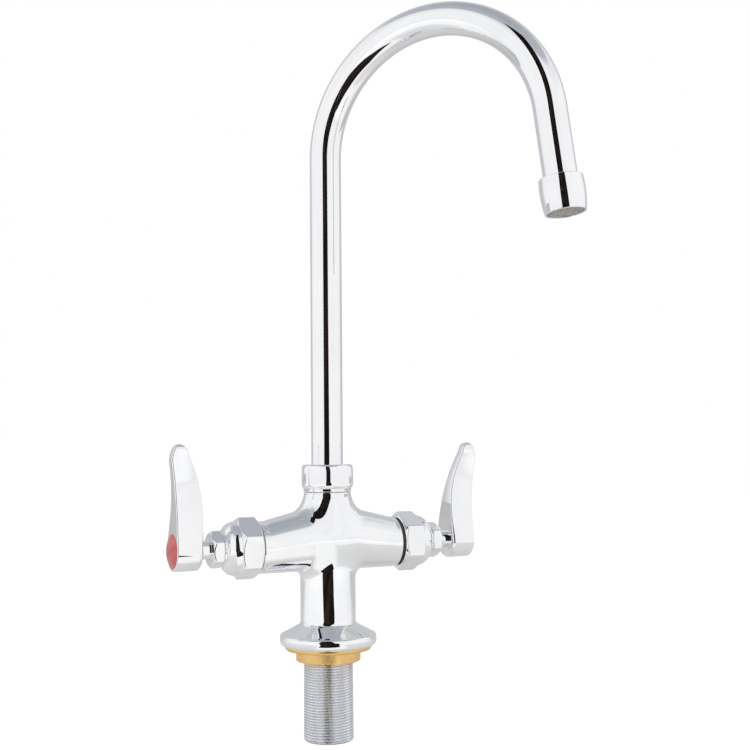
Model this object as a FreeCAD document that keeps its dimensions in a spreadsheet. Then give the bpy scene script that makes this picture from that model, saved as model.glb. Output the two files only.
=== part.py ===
"""Deck-mounted mixing faucet with a swivel gooseneck and two lever handles.

Millimetres, +Z up. The origin is the centre of the deck flange's underside. The handle axis runs
along X, with the cold side at +X, and the user stands on the -Y side.
"""
import FreeCAD, Part
import math
import os
import Sketcher

os.makedirs("parts", exist_ok=True)
doc = FreeCAD.newDocument("GooseneckFaucet")
sheet = doc.addObject("Spreadsheet::Sheet", "Sizes")


# Sizes that know how the sheet works them out

class Size:
    """A length or an angle: its number, and the same value written for the sheet."""

    def __init__(self, number, text):
        self.number = number
        self.text = text

    def __add__(self, other):
        other = as_size(other)
        return Size(self.number + other.number, f"({self.text} + {other.text})")

    def __radd__(self, other):
        return as_size(other) + self

    def __sub__(self, other):
        other = as_size(other)
        return Size(self.number - other.number, f"({self.text} - {other.text})")

    def __rsub__(self, other):
        return as_size(other) - self

    def __mul__(self, other):
        other = as_size(other)
        return Size(self.number * other.number, f"({self.text} * {other.text})")

    def __rmul__(self, other):
        return as_size(other) * self

    def __truediv__(self, other):
        other = as_size(other)
        return Size(self.number / other.number, f"({self.text} / {other.text})")

    def __neg__(self):
        return Size(-self.number, f"(0 - {self.text})")


def as_size(value):
    if isinstance(value, Size):
        return value
    return Size(float(value), f"{float(value):g}")


def sine(angle):
    return Size(math.sin(math.radians(angle.number)), f"sin({angle.text})")


def cosine(angle):
    return Size(math.cos(math.radians(angle.number)), f"cos({angle.text})")


def arc_tangent(rise, run):
    """The angle whose tangent is rise over run, in degrees."""
    number = math.degrees(math.atan2(rise.number, run.number))
    return Size(number, f"atan2({rise.text}; {run.text})")


def root(value):
    return Size(math.sqrt(value.number), f"sqrt({value.text})")


def larger(one, other):
    one = as_size(one)
    other = as_size(other)
    return Size(max(one.number, other.number), f"max({one.text}; {other.text})")


def smaller(one, other):
    one = as_size(one)
    other = as_size(other)
    return Size(min(one.number, other.number), f"min({one.text}; {other.text})")


# Fits
fit_gap = 0.07                      # radial running clearance of a turning shaft
still_gap = 0.05                    # radial gap of a thread or a brazed joint
face_gap = 0.05                     # gap between flat faces that slide on each other
thread_run_out = 0.5                # how much deeper a threaded bore is than its nut
free_gap = 0.3                      # gap between pieces that pass each other freely

# Deck flange, column and neck of the body casting
flange_radius = 27.15               # widest radius of the deck flange
flange_rim = 6.6                    # height of the flange's rounded rim
rim_rounding = 2.4                  # rounding of the flange's rim
cone_top_radius = 16.6              # radius where the flange's cone meets the column
cone_height = 4.9                   # height of the flange's cone
column_radius = 15.55               # radius of the column
neck_radius = 13.3                  # radius of the neck
handle_height = 55.8                # height of the handle axis
neck_rise = 29.5                    # from the handle axis up to the shoulder under the swivel nut

# Arms of the body casting
arm_radius = 14.3                   # radius of an arm at its open end
arm_reach = 40.3                    # distance from the axis to an arm's open end
arm_rise = 9.5                      # how much higher an arm's top line would be at the middle
arm_blend = 4.5                     # rounding where the arms meet the column
neck_blend = 11.0                   # rounding where the arms meet the neck

# Shank and its fastenings
shank_radius = 14.0                 # crest radius of the shank's thread
shank_bore = 11.5                   # bore radius of the shank
shank_length = 52.2                 # length of the shank below the flange
spigot_radius = 13.0                # radius of the shank's thread inside the casting
engaged_radius = 13.6               # middle radius of the shank's thread inside the lock nut
spigot_length = 10.0                # length of the shank inside the casting
thread_pitch = 1.5                  # pitch of the shank's thread
thread_depth = 0.75                 # depth of the shank's thread
deck_washer_radius = 24.3           # radius of the brass washer
deck_washer_thickness = 2.3         # thickness of the brass washer
lock_nut_radius = 18.1              # radius of the brass lock nut
lock_nut_height = 6.2               # height of the brass lock nut
notch_width = 3.4                   # width of a spanner notch in the lock nut
notch_depth = 1.3                   # depth of a spanner notch in the lock nut

# Water ways in the casting
inlet_radius = 5.0                  # thread radius of a supply inlet
inlet_depth = 10.0                  # depth of a supply inlet's thread
inlet_offset = 5.9                  # distance from the axis to a supply inlet
passage_radius = 3.5                # radius of a supply passage
mixing_radius = 7.6                 # radius of the mixing chamber
mixing_rise = 12.2                  # from the handle axis up to the mixing chamber's floor
riser_radius = 3.0                  # radius of the slanted passage to the mixing chamber
riser_reach = 27.0                  # distance from the axis to the slanted passage's foot
riser_rise = 6.0                    # height of the slanted passage's foot over the handle axis

# Swivel joint
swivel_thread = 12.0                # thread radius of the neck's spigot
swivel_spigot = 8.3                 # height of the neck's threaded spigot
swivel_bore = 10.15                 # bore radius in the neck for the sleeve
swivel_depth = 7.3                  # how far the swivel bore reaches below the neck's shoulder
nut_flats = 29.2                    # width of the swivel nut across its flats
nut_height = 15.2                   # height of the swivel nut
nut_lip_radius = 13.5               # radius of the swivel nut's round lip
nut_lip_height = 1.7                # height of the swivel nut's round lip
nut_rounding = 6.5                  # rounding of the swivel nut's corners
nut_roof = 2.9                      # thickness of the swivel nut's roof
collar_radius = 11.6                # radius of the swivel sleeve's collar
collar_height = 2.8                 # height of the swivel sleeve's collar
sleeve_bore = 7.0                   # water way radius in the swivel sleeve
tube_socket = 6.4                   # depth of the sleeve's socket for the tube
groove_width = 2.4                  # width of an O-ring groove
groove_margin = 1.7                 # metal below the lower O-ring groove
groove_floor = 8.4                  # radius of an O-ring groove's floor
groove_spacing = 5.0                # distance between the two O-ring grooves
ring_section = 0.8                  # section radius of an O-ring

# Gooseneck tube
tube_radius = 9.0                   # outer radius of the gooseneck tube
tube_wall = 1.2                     # wall of the gooseneck tube
tube_rise = 190.6                   # from the neck's shoulder up to where the tube's bend starts
bend_radius = 69.1                  # radius of the bend to the tube's middle line
outlet_lean = 7.6                   # how far the outlet stays short of straight down, in degrees
swivel_nut_turn = 6.0               # how far the swivel nut is turned, in degrees
notch_turn = 246.0                  # how far the lock nut is turned, in degrees
swing = 55.3                        # how far the spout is swung from +X towards the user, in degrees
tail_length = 56.2                  # distance from the bend's end to the outlet

# Aerator
housing_radius = 11.8               # widest radius of the aerator housing
housing_foot_radius = 10.8          # radius of the housing at the outlet
housing_length = 18.5               # length of the aerator housing
housing_rounding = 0.8              # rounding of the housing's two ends
housing_belly = 60.0                # radius of the housing's barrel shape
outlet_thread = 10.7                # thread radius of the outlet
insert_radius = 9.75                # radius of the aerator insert
insert_flange = 1.0                 # thickness of the insert's flange
insert_setback = 0.5                # how far the insert stays inside the outlet
insert_height = 6.0                 # height of the insert below its flange
insert_wall = 0.6                   # wall of the aerator insert
insert_plate = 1.6                  # thickness of the insert's pierced plate
insert_hole = 0.6                   # radius of a hole in the pierced plate
aerator_washer_thickness = 1.5      # thickness of the aerator washer
adapter_height = 8.5                # height of the outlet adapter
adapter_stop = 1.0                  # thickness of the adapter's inner stop
screen_thickness = 0.5              # thickness of the aerator screen
screen_bar = 0.45                   # width of a bar of the screen
screen_pitch = 1.6                  # spacing of the screen's bars

# Bonnet
bonnet_gap = 0.8                    # gap between an arm's end and the bonnet
bonnet_flats = 30.0                 # width of a bonnet across its flats
bonnet_face_radius = 14.3           # radius of the bonnet's inner face
bonnet_inner_chamfer = 2.5          # length of the bonnet's inner chamfer
bonnet_hexagon = 10.4               # length of the bonnet's full hexagon
bonnet_outer_chamfer = 1.2          # length of the bonnet's outer chamfer
dome_start_radius = 14.7            # radius where the bonnet's dome starts
dome_length = 7.0                   # length of the bonnet's dome
dome_end_radius = 9.7               # radius where the bonnet's dome ends
dome_rounding = 7.0                 # radius of the bonnet's dome
bonnet_collar_radius = 9.3          # radius of the bonnet's end collar
bonnet_collar = 1.2                 # length of the bonnet's end collar
bonnet_thread = 11.0                # thread radius of an arm's bore
bonnet_mouth = 9.0                  # radius of the opening in a bonnet's inner end
bonnet_screwed = 9.5                # how deep a bonnet is screwed into its arm
bonnet_washer_radius = 13.2         # outer radius of the bonnet washer
hot_bonnet_turn = 23.0              # how far the hot bonnet is turned, in degrees
cold_bonnet_turn = 31.0             # how far the cold bonnet is turned, in degrees
guide_turn = 30.0                   # how far a piston and its guide are turned, in degrees

# Packing
gland_flats = 18.0                  # width of a packing nut across its flats
gland_head = 6.2                    # length of a packing nut's head
gland_thread = 8.0                  # thread radius of a packing nut
gland_screwed = 6.5                 # how deep a packing nut is screwed in
gland_chamfer = 1.6                 # chamfer of a packing nut's outer end
packing_length = 5.0                # length of a packing ring

# Valve
chamber_radius = 9.0                # radius of a valve chamber
chamber_start = 20.5                # distance from the axis to a valve chamber's inner end
seat_radius = 5.8                   # thread radius of a valve seat
seat_length = 6.0                   # length of a valve seat inside the casting
seat_bore = 3.6                     # bore radius of a valve seat
seat_lip = 1.0                      # height of a valve seat's lip
seat_lip_radius = 4.8               # outer radius of a valve seat's lip
seat_washer_radius = 5.6            # radius of a seat washer
seat_washer_thickness = 2.5         # thickness of a seat washer
seat_washer_proud = 1.25            # how far a seat washer stands out of its piston
piston_flats = 12.6                 # width of a piston across its flats
piston_guide_gap = 0.1              # gap between a piston's flats and its guide
piston_length = 15.2                # length of a piston
piston_travel = 2.0                 # how far a piston moves when its handle opens
piston_web = 2.0                    # metal between a seat washer and the spindle's thread
seat_screw_radius = 1.5             # thread radius of a seat screw
seat_screw_head = 2.4               # head radius of a seat screw
seat_screw_head_height = 1.5        # head height of a seat screw

# Spindle
spindle_radius = 5.0                # radius of a spindle
spindle_thread = 3.5                # radius of a spindle's steep thread
spindle_collar_radius = 6.1         # radius of a spindle's collar
spindle_collar = 2.0                # length of a spindle's collar
square_flats = 7.0                  # width of the square that drives a spindle
square_length = 8.5                 # length of a spindle's square

# Lever handle
hub_start = 75.5                    # distance from the axis to a lever's hub
hub_length = 14.5                   # length of a lever's hub
hub_radius = 10.8                   # radius of a lever's hub
hub_rounding = 2.4                  # rounding of a hub's inner end
lever_length = 57.4                 # length of a lever from the handle axis
lever_flare = 2.7                   # how far a lever's tip stands out past its hub
lever_lean = 6.5                    # how far a closed lever leans towards the user, in degrees
shoulder_half = 7.4                 # half thickness of a lever at its shoulder
shoulder_height = 15.0              # height of a lever's shoulder
blade_foot_half = 4.4               # half thickness where a lever's blade starts
blade_foot_height = 28.0            # height where a lever's blade starts
blade_hollow = 75.0                 # radius of the hollow between shoulder and blade
tip_half = 3.0                      # half thickness of a lever at its tip
tip_width = 7.3                     # width of a lever below its rounded tip
tip_height = 4.0                    # height of a lever's rounded inner tip
tip_round_height = 11.2             # height of a lever's rounded outer tip
flare_start = 12.0                  # height where a lever's outer edge starts to flare
inner_edge_start = 22.0             # height where a lever's inner edge curves away
inner_edge_radius = 72.0            # radius of a lever's curved inner edge
outer_edge_radius = 200.0           # radius of a lever's hollow outer edge
tip_inner_radius = 4.6              # rounding of a lever's tip on the inner side
tip_outer_radius = 9.0              # rounding of a lever's tip on the outer side
button_radius = 9.4                 # radius of an index button
button_seat = 2.0                   # depth of the hub's recess for the button
button_dome = 2.8                   # height of an index button's dome
screw_recess_radius = 5.5           # radius of the recess for the handle screw
screw_recess = 2.6                  # depth of the recess for the handle screw
screw_head_radius = 4.4             # head radius of a handle screw
screw_head_height = 2.2             # head height of a handle screw
screw_radius = 2.0                  # thread radius of a handle screw
screw_slot = 1.0                    # width of a screw's slot
screw_length = 9.0                  # length of a handle screw's thread

# Each size above becomes a row of the sheet, and from here on its name stands for that row
driving = [(alias, number) for alias, number in globals().items() if isinstance(number, float)]
for row, (alias, number) in enumerate(driving, 1):
    sheet.set(f"A{row}", alias.replace("_", " "))
    sheet.set(f"B{row}", str(number))
    sheet.setAlias(f"B{row}", alias)
    globals()[alias] = Size(number, f"Sizes.{alias}")
doc.recompute()

neck_top = handle_height + neck_rise
mixing_floor = handle_height + mixing_rise
bend_start = neck_top + tube_rise

SQRT3 = math.sqrt(3.0)
NOTCH_COUNT = 3
FULL_TURN = 360.0
QUARTER_TURN = FULL_TURN / 4
SQUARE_TURN = Size(45.0, "45")
LEAST_VOLUME = 1e-6
# How a sketch numbers its origin point
SKETCH_ORIGIN = (-1, 1)


# Sketches

class Corner:
    """A corner of an outline, and how the edge that arrives at it is bent."""

    def __init__(self, x, y, bend=None):
        self.x = as_size(x)
        self.y = as_size(y)
        # A positive bend bulges to the left of the way the outline runs, a negative one to the right
        self.bend = None if bend is None else as_size(bend)


def origin_plane(body, role):
    for feature in body.Origin.OriginFeatures:
        if feature.Role == role:
            return feature
    raise ValueError(role)


def new_sketch(body, name, role, offset=None):
    sketch = body.newObject("Sketcher::SketchObject", name)
    sketch.AttachmentSupport = (origin_plane(body, role), [""])
    sketch.MapMode = "FlatFace"
    if offset is not None:
        sketch.setExpression("AttachmentOffset.Base.z", offset.text)
    return sketch


def arc_between(start, end, bend):
    """An arc of radius |bend| from start to end, and whether it runs backwards in the sketch."""
    chord = FreeCAD.Vector(end.x.number - start.x.number, end.y.number - start.y.number, 0)
    radius = abs(bend.number)
    left = FreeCAD.Vector(-chord.y, chord.x, 0).normalize()
    height = math.sqrt(max(radius * radius - chord.Length * chord.Length / 4, 0.0))
    side = -1.0 if bend.number > 0 else 1.0
    middle = FreeCAD.Vector(start.x.number, start.y.number, 0) + chord / 2
    centre = middle + left * (side * height)
    circle = Part.Circle(centre, FreeCAD.Vector(0, 0, 1), radius)
    first = math.atan2(start.y.number - centre.y, start.x.number - centre.x)
    last = math.atan2(end.y.number - centre.y, end.x.number - centre.x)
    if bend.number > 0:
        return Part.ArcOfCircle(circle, last, first), True
    return Part.ArcOfCircle(circle, first, last), False


def long_arc(start, end, bend):
    """An arc that starts straight up from start and turns to the right, past a quarter turn."""
    centre = FreeCAD.Vector(start.x.number + bend.number, start.y.number, 0)
    circle = Part.Circle(centre, FreeCAD.Vector(0, 0, 1), bend.number)
    last = math.atan2(end.y.number - centre.y, end.x.number - centre.x)
    return Part.ArcOfCircle(circle, last, math.pi), True


def bind(sketch, kind, *parts):
    """Add one dimension to a sketch and tie it to the sheet. The last part is its Size."""
    size = parts[-1]
    index = sketch.addConstraint(Sketcher.Constraint(kind, *parts[:-1], size.number))
    sketch.setExpression(f"Constraints[{index}]", size.text)


def sketch_axis(kind):
    """How a sketch numbers the axis on which this distance is nought."""
    return -2 if kind == "DistanceX" else -1


def tie_point(sketch, edge, vertex, x, y):
    """Hold one point of a sketch at a distance from the origin that the sheet gives."""
    for value, kind in ((x, "DistanceX"), (y, "DistanceY")):
        if value.text == "0":
            sketch.addConstraint(Sketcher.Constraint("PointOnObject", edge, vertex, sketch_axis(kind)))
        else:
            bind(sketch, kind, *SKETCH_ORIGIN, edge, vertex, value)


def draw_outline(sketch, corners):
    """Draw a closed outline whose corners are all tied to the sheet."""
    edges = []
    for before, corner in zip(corners[-1:] + corners[:-1], corners):
        backwards = False
        if corner.bend is None:
            shape = Part.LineSegment(
                FreeCAD.Vector(before.x.number, before.y.number, 0),
                FreeCAD.Vector(corner.x.number, corner.y.number, 0))
        else:
            shape, backwards = arc_between(before, corner, corner.bend)
        edge = sketch.addGeometry(shape, False)
        edges.append((edge, 2, 1) if backwards else (edge, 1, 2))
    for (edge, _, last), (follower, first, _) in zip(edges, edges[1:] + edges[:1]):
        sketch.addConstraint(Sketcher.Constraint("Coincident", edge, last, follower, first))
    for (edge, _, last), corner in zip(edges, corners):
        tie_point(sketch, edge, last, corner.x, corner.y)
        if corner.bend is not None:
            bend = corner.bend if corner.bend.number > 0 else -corner.bend
            bind(sketch, "Radius", edge, bend)


def draw_path(sketch, corners):
    """Draw an open path through corners that are all tied to the sheet."""
    edges = []
    for before, corner in zip(corners, corners[1:]):
        backwards = False
        if corner.bend is None:
            shape = Part.LineSegment(
                FreeCAD.Vector(before.x.number, before.y.number, 0),
                FreeCAD.Vector(corner.x.number, corner.y.number, 0))
        else:
            shape, backwards = long_arc(before, corner, corner.bend)
        edge = sketch.addGeometry(shape, False)
        edges.append((edge, 2, 1) if backwards else (edge, 1, 2))
    for (edge, _, last), (follower, first, _) in zip(edges, edges[1:]):
        sketch.addConstraint(Sketcher.Constraint("Coincident", edge, last, follower, first))
    ends = [(edges[0][0], edges[0][1], corners[0])]
    ends += [(edge, last, corner) for (edge, _, last), corner in zip(edges, corners[1:])]
    for edge, vertex, corner in ends:
        tie_point(sketch, edge, vertex, corner.x, corner.y)
    for (edge, _, _), corner in zip(edges, corners[1:]):
        if corner.bend is not None:
            bind(sketch, "Radius", edge, corner.bend)


def draw_circle(sketch, radius, x=0, y=0):
    x = as_size(x)
    y = as_size(y)
    centre = FreeCAD.Vector(x.number, y.number, 0)
    circle = sketch.addGeometry(Part.Circle(centre, FreeCAD.Vector(0, 0, 1), radius.number), False)
    bind(sketch, "Radius", circle, radius)
    circle_centre = 3    # how a sketch numbers the centre point of a circle
    tie_point(sketch, circle, circle_centre, x, y)


def regular_corners(sides, across_flats, turn):
    """The corners of a square or a hexagon, turned by an angle."""
    corner_radius = across_flats / (2 * math.cos(math.pi / sides))
    corners = []
    for index in range(sides):
        angle = turn + FULL_TURN / sides * index
        corners.append(Corner(corner_radius * cosine(angle), corner_radius * sine(angle)))
    return corners


# Features of a body

def new_body(name):
    body = doc.addObject("PartDesign::Body", name)
    body.Label = name
    return body


def turned(body, name, corners, axis):
    """Turn a half section round the body's X axis or Z axis.

    Each corner is (distance along the axis, radius) with an optional bend.
    """
    sketch = new_sketch(body, name + "_section", "XZ_Plane")
    if axis == "Z":
        flipped = []
        for corner in corners:
            bend = None if corner.bend is None else -corner.bend
            flipped.append(Corner(corner.y, corner.x, bend))
        corners = flipped
    draw_outline(sketch, corners)
    turning = body.newObject("PartDesign::Revolution", name)
    turning.Profile = sketch
    turning.ReferenceAxis = (sketch, ["V_Axis" if axis == "Z" else "H_Axis"])
    turning.Angle = FULL_TURN
    return turning


def pad(body, sketch, name, length):
    feature = body.newObject("PartDesign::Pad", name)
    feature.Profile = sketch
    feature.setExpression("Length", length.text)
    return feature


def pocket(body, sketch, name, length, middle=False):
    """Cut along the sketch's normal, away from the origin plane."""
    doc.recompute()
    before = body.Shape.Volume
    feature = body.newObject("PartDesign::Pocket", name)
    feature.Profile = sketch
    feature.setExpression("Length", length.text)
    feature.Midplane = middle
    feature.Reversed = not middle
    doc.recompute()
    if body.Shape.Volume > before - LEAST_VOLUME:
        raise RuntimeError(f"{name} cuts nothing")
    return feature


def cut_flats(body, name, sides, across_flats, start, length, turn, axis):
    """Mill flats on a turned piece: cut all that lies outside a square or hexagon."""
    sketch = new_sketch(body, name + "_outline", "XY_Plane" if axis == "Z" else "YZ_Plane", start)
    draw_circle(sketch, across_flats)
    draw_outline(sketch, regular_corners(sides, across_flats, turn))
    return pocket(body, sketch, name, length)


def cut_prism(body, name, sides, across_flats, start, length, turn):
    """Broach a square or hexagonal hole along the X axis."""
    sketch = new_sketch(body, name + "_outline", "YZ_Plane", start)
    draw_outline(sketch, regular_corners(sides, across_flats, turn))
    return pocket(body, sketch, name, length)


def cut_round(body, name, radius, start, length, role, x=0, y=0):
    """Drill a round hole along a plane's normal."""
    sketch = new_sketch(body, name + "_outline", role, start)
    draw_circle(sketch, radius, x, y)
    return pocket(body, sketch, name, length)


# Where the pieces stand

def place(item, x, y, z, yaw=0, pitch=0, roll=0):
    spot = [as_size(value).text for value in (x, y, z)]
    turn = [as_size(value).text for value in (yaw, pitch, roll)]
    item.setExpression(
        "Placement",
        f"placement(vector({'; '.join(spot)}); rotation({'; '.join(turn)}))")


class Side:
    """One side of the faucet: its pieces are made towards +X and turned to where they belong."""

    def __init__(self, name, yaw, lean, bonnet_turn):
        self.name = name
        self.yaw = yaw
        self.lean = lean
        self.bonnet_turn = bonnet_turn

    def still(self, piece):
        place(piece, 0, 0, handle_height, self.yaw)

    def leaning(self, piece):
        place(piece, 0, 0, handle_height, self.yaw, 0, self.lean)


def place_on_gooseneck(piece):
    place(piece, 0, 0, 0, -swing)


outlet_x = bend_radius * (1 + cosine(outlet_lean)) + tail_length * sine(outlet_lean)
outlet_z = bend_start + bend_radius * sine(outlet_lean) - tail_length * cosine(outlet_lean)


def place_at_outlet(piece):
    """Own +Z runs back up the tube's tail, from the centre of the outlet."""
    place(piece, outlet_x * cosine(swing), -outlet_x * sine(swing), outlet_z, -swing, -outlet_lean)


parts = []


def finish(piece):
    parts.append(piece)
    return piece


# Body casting

cone_top = flange_rim + cone_height
column_bottom = cone_top + cone_top_radius - column_radius
spigot_top = neck_top + swivel_spigot
swivel_floor = neck_top - swivel_depth


def round_bar(name, radius, length, x, y, z, yaw=0, pitch=0):
    bar = doc.addObject("Part::Cylinder", name)
    bar.setExpression("Radius", radius.text)
    bar.setExpression("Height", length.text)
    place(bar, x, y, z, yaw, pitch)
    return bar


def blend_height(radius, wall, reach):
    """How far a rounding of this radius stands off at a distance from the axis.

    The rounding leaves an upright wall, and stops just short of running along it.
    """
    widest = radius - radius / 18
    run = larger(smaller(radius - (reach - wall), widest), 0)
    return radius - root(radius * radius - run * run)


def arm_section(name, reach, sign):
    """An upright oval across both arms' line, at a distance from the axis."""
    rise = arm_rise * (1 - larger(reach, neck_radius) / arm_reach)
    top = arm_radius + rise + blend_height(neck_blend, neck_radius, reach)
    bottom = arm_radius + blend_height(arm_blend, column_radius, reach)
    section = doc.addObject("Part::Ellipse", name)
    section.setExpression("MajorRadius", ((top + bottom) / 2).text)
    section.setExpression("MinorRadius", arm_radius.text)
    place(section, sign * reach, 0, handle_height + (top - bottom) / 2, 0, QUARTER_TURN)
    return section


def arm_end(name, sign):
    section = doc.addObject("Part::Circle", name)
    section.setExpression("Radius", arm_radius.text)
    place(section, sign * arm_reach, 0, handle_height, 0, QUARTER_TURN)
    return section


def make_arms():
    """Both arms in one loft, flared where they run into the column and the neck."""
    reaches = [neck_radius + neck_blend / 18, column_radius + arm_blend / 12]
    reaches += [column_radius + arm_blend * share for share in (0.3, 0.6)]
    reaches += [neck_radius + neck_blend * share for share in (0.6, 0.8, 1.0)]
    hot = [arm_end("hot_arm_end", -1)]
    cold = []
    for index, reach in enumerate(reaches):
        hot.insert(1, arm_section(f"hot_arm_{index}", reach, -1))
        cold.append(arm_section(f"cold_arm_{index}", reach, 1))
    arms = doc.addObject("Part::Loft", "casting_arms")
    arms.Sections = hot + cold + [arm_end("cold_arm_end", 1)]
    arms.Solid = True
    arms.Ruled = True
    return arms


def make_trunk():
    """Flange, column, neck and threaded spigot, turned in one piece."""
    trunk = doc.addObject("PartDesign::Body", "casting_trunk")
    rim_shoulder = rim_rounding * 0.7
    column_top = handle_height - arm_radius / 2
    neck_bottom = handle_height + arm_radius
    turned(trunk, "trunk", [
        Corner(0, 0),
        Corner(0, flange_radius - rim_rounding),
        Corner(rim_rounding, flange_radius, rim_rounding),
        Corner(flange_rim - rim_rounding, flange_radius),
        Corner(flange_rim, flange_radius - rim_shoulder, rim_rounding),
        Corner(cone_top, cone_top_radius),
        Corner(column_bottom, column_radius),
        Corner(column_top, column_radius),
        Corner(neck_bottom, neck_radius),
        Corner(neck_top, neck_radius),
        Corner(neck_top, swivel_thread),
        Corner(spigot_top, swivel_thread),
        Corner(spigot_top, 0),
    ], "Z")
    return trunk


def make_water_ways():
    """Everything drilled in the casting: supplies, valve chambers, mixing chamber, swivel bore."""
    hollows = [
        round_bar("shank_socket", spigot_radius + still_gap, spigot_length, 0, 0, 0),
        round_bar("mixing_chamber", mixing_radius, spigot_top - mixing_floor, 0, 0, mixing_floor),
        round_bar("swivel_socket", swivel_bore, spigot_top - swivel_floor, 0, 0, swivel_floor),
    ]
    inlet_top = spigot_length + inlet_depth
    bonnet_depth = bonnet_screwed + thread_run_out
    riser_foot = handle_height + riser_rise
    riser_run = riser_reach - mixing_radius / 2
    riser_climb = swivel_floor - riser_foot
    riser_length = root(riser_run * riser_run + riser_climb * riser_climb)
    for name, yaw, sign in (("hot", 180, -1), ("cold", 0, 1)):
        hollows += [
            round_bar(name + "_inlet", inlet_radius, inlet_depth, sign * inlet_offset, 0, spigot_length),
            round_bar(name + "_rise", passage_radius, handle_height - inlet_top,
                      sign * inlet_offset, 0, inlet_top),
            round_bar(name + "_feed", passage_radius, chamber_start - inlet_offset,
                      sign * inlet_offset, 0, handle_height, yaw, QUARTER_TURN),
            round_bar(name + "_seat_thread", seat_radius + still_gap, seat_length,
                      sign * (chamber_start - seat_length), 0, handle_height, yaw, QUARTER_TURN),
            round_bar(name + "_chamber", chamber_radius, arm_reach - chamber_start,
                      sign * chamber_start, 0, handle_height, yaw, QUARTER_TURN),
            round_bar(name + "_bonnet_thread", bonnet_thread, bonnet_depth,
                      sign * (arm_reach - bonnet_depth), 0, handle_height, yaw, QUARTER_TURN),
            round_bar(name + "_riser", riser_radius, riser_length,
                      sign * riser_reach, 0, riser_foot, 180 + yaw, arc_tangent(riser_run, riser_climb)),
        ]
    ways = doc.addObject("Part::MultiFuse", "casting_water_ways")
    ways.Shapes = hollows
    return ways


def make_body_casting():
    """Flange, column, neck and both arms in one casting."""
    outside = doc.addObject("Part::Fuse", "casting_outside")
    outside.Base = make_trunk()
    outside.Tool = make_arms()
    casting = doc.addObject("Part::Cut", "body_casting")
    casting.Label = "body_casting"
    casting.Base = outside
    casting.Tool = make_water_ways()
    return finish(casting)


# Shank, washer and lock nut

lock_nut_bottom = -(deck_washer_thickness + lock_nut_height)


def make_threaded_shank():
    """A bored shank whose thread is cut as a row of grooves, one per turn.

    Inside the lock nut the engaged threads are plain, at the thread's middle radius.
    """
    body = new_body("threaded_shank")
    turned(body, "shank", [
        Corner(-shank_length, shank_bore),
        Corner(-shank_length, shank_radius - thread_depth),
        Corner(thread_depth - shank_length, shank_radius),
        Corner(lock_nut_bottom, shank_radius),
        Corner(lock_nut_bottom, engaged_radius),
        Corner(0, engaged_radius),
        Corner(0, spigot_radius),
        Corner(spigot_length, spigot_radius),
        Corner(spigot_length, shank_bore),
    ], "Z")
    first = 1.5 * thread_pitch - shank_length
    outside = shank_radius + thread_depth / 4
    half_mouth = thread_pitch * 0.46
    sketch = new_sketch(body, "thread_section", "XZ_Plane")
    draw_outline(sketch, [
        Corner(shank_radius - thread_depth, first),
        Corner(outside, first - half_mouth),
        Corner(outside, first + half_mouth),
    ])
    groove = body.newObject("PartDesign::Groove", "thread_groove")
    groove.Profile = sketch
    groove.ReferenceAxis = (sketch, ["V_Axis"])
    groove.Angle = FULL_TURN
    turns = int((shank_length.number + lock_nut_bottom.number) / thread_pitch.number) - 1
    row = body.newObject("PartDesign::LinearPattern", "thread")
    row.Originals = [groove]
    row.Direction = (origin_plane(body, "Z_Axis"), [""])
    row.setExpression("Length", (thread_pitch * (turns - 1)).text)
    row.Occurrences = turns
    body.Tip = row
    return finish(body)


def make_deck_washer():
    body = new_body("deck_washer")
    chamfer = deck_washer_thickness / 6
    turned(body, "washer", [
        Corner(-deck_washer_thickness, shank_radius + free_gap),
        Corner(-deck_washer_thickness, deck_washer_radius - chamfer),
        Corner(chamfer - deck_washer_thickness, deck_washer_radius),
        Corner(-chamfer, deck_washer_radius),
        Corner(0, deck_washer_radius - chamfer),
        Corner(0, shank_radius + free_gap),
    ], "Z")
    return finish(body)


def make_lock_nut():
    """A round nut with spanner notches in its upper edge."""
    body = new_body("lock_nut")
    top = -deck_washer_thickness
    chamfer = lock_nut_height / 8
    turned(body, "nut", [
        Corner(lock_nut_bottom, engaged_radius + still_gap),
        Corner(lock_nut_bottom, lock_nut_radius - chamfer),
        Corner(lock_nut_bottom + chamfer, lock_nut_radius),
        Corner(top, lock_nut_radius),
        Corner(top, engaged_radius + still_gap),
    ], "Z")
    sketch = new_sketch(body, "notch_outline", "XY_Plane", top - notch_depth)
    inner = lock_nut_radius - notch_depth
    outer = lock_nut_radius + notch_depth
    draw_outline(sketch, [
        Corner(inner, -notch_width / 2),
        Corner(outer, -notch_width / 2),
        Corner(outer, notch_width / 2),
        Corner(inner, notch_width / 2),
    ])
    notch = pocket(body, sketch, "notch", notch_depth)
    ring = body.newObject("PartDesign::PolarPattern", "notches")
    ring.Originals = [notch]
    ring.Axis = (origin_plane(body, "Z_Axis"), [""])
    ring.Angle = FULL_TURN
    ring.Occurrences = NOTCH_COUNT
    body.Tip = ring
    place(body, 0, 0, 0, notch_turn)
    return finish(body)


# Swivel joint

nut_bottom = neck_top + free_gap
nut_top = nut_bottom + nut_height
collar_bottom = spigot_top + face_gap
collar_top = collar_bottom + collar_height
swivel_washer_top = nut_top - nut_roof
sleeve_bottom = swivel_floor + free_gap
sleeve_radius = swivel_bore - fit_gap


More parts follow.
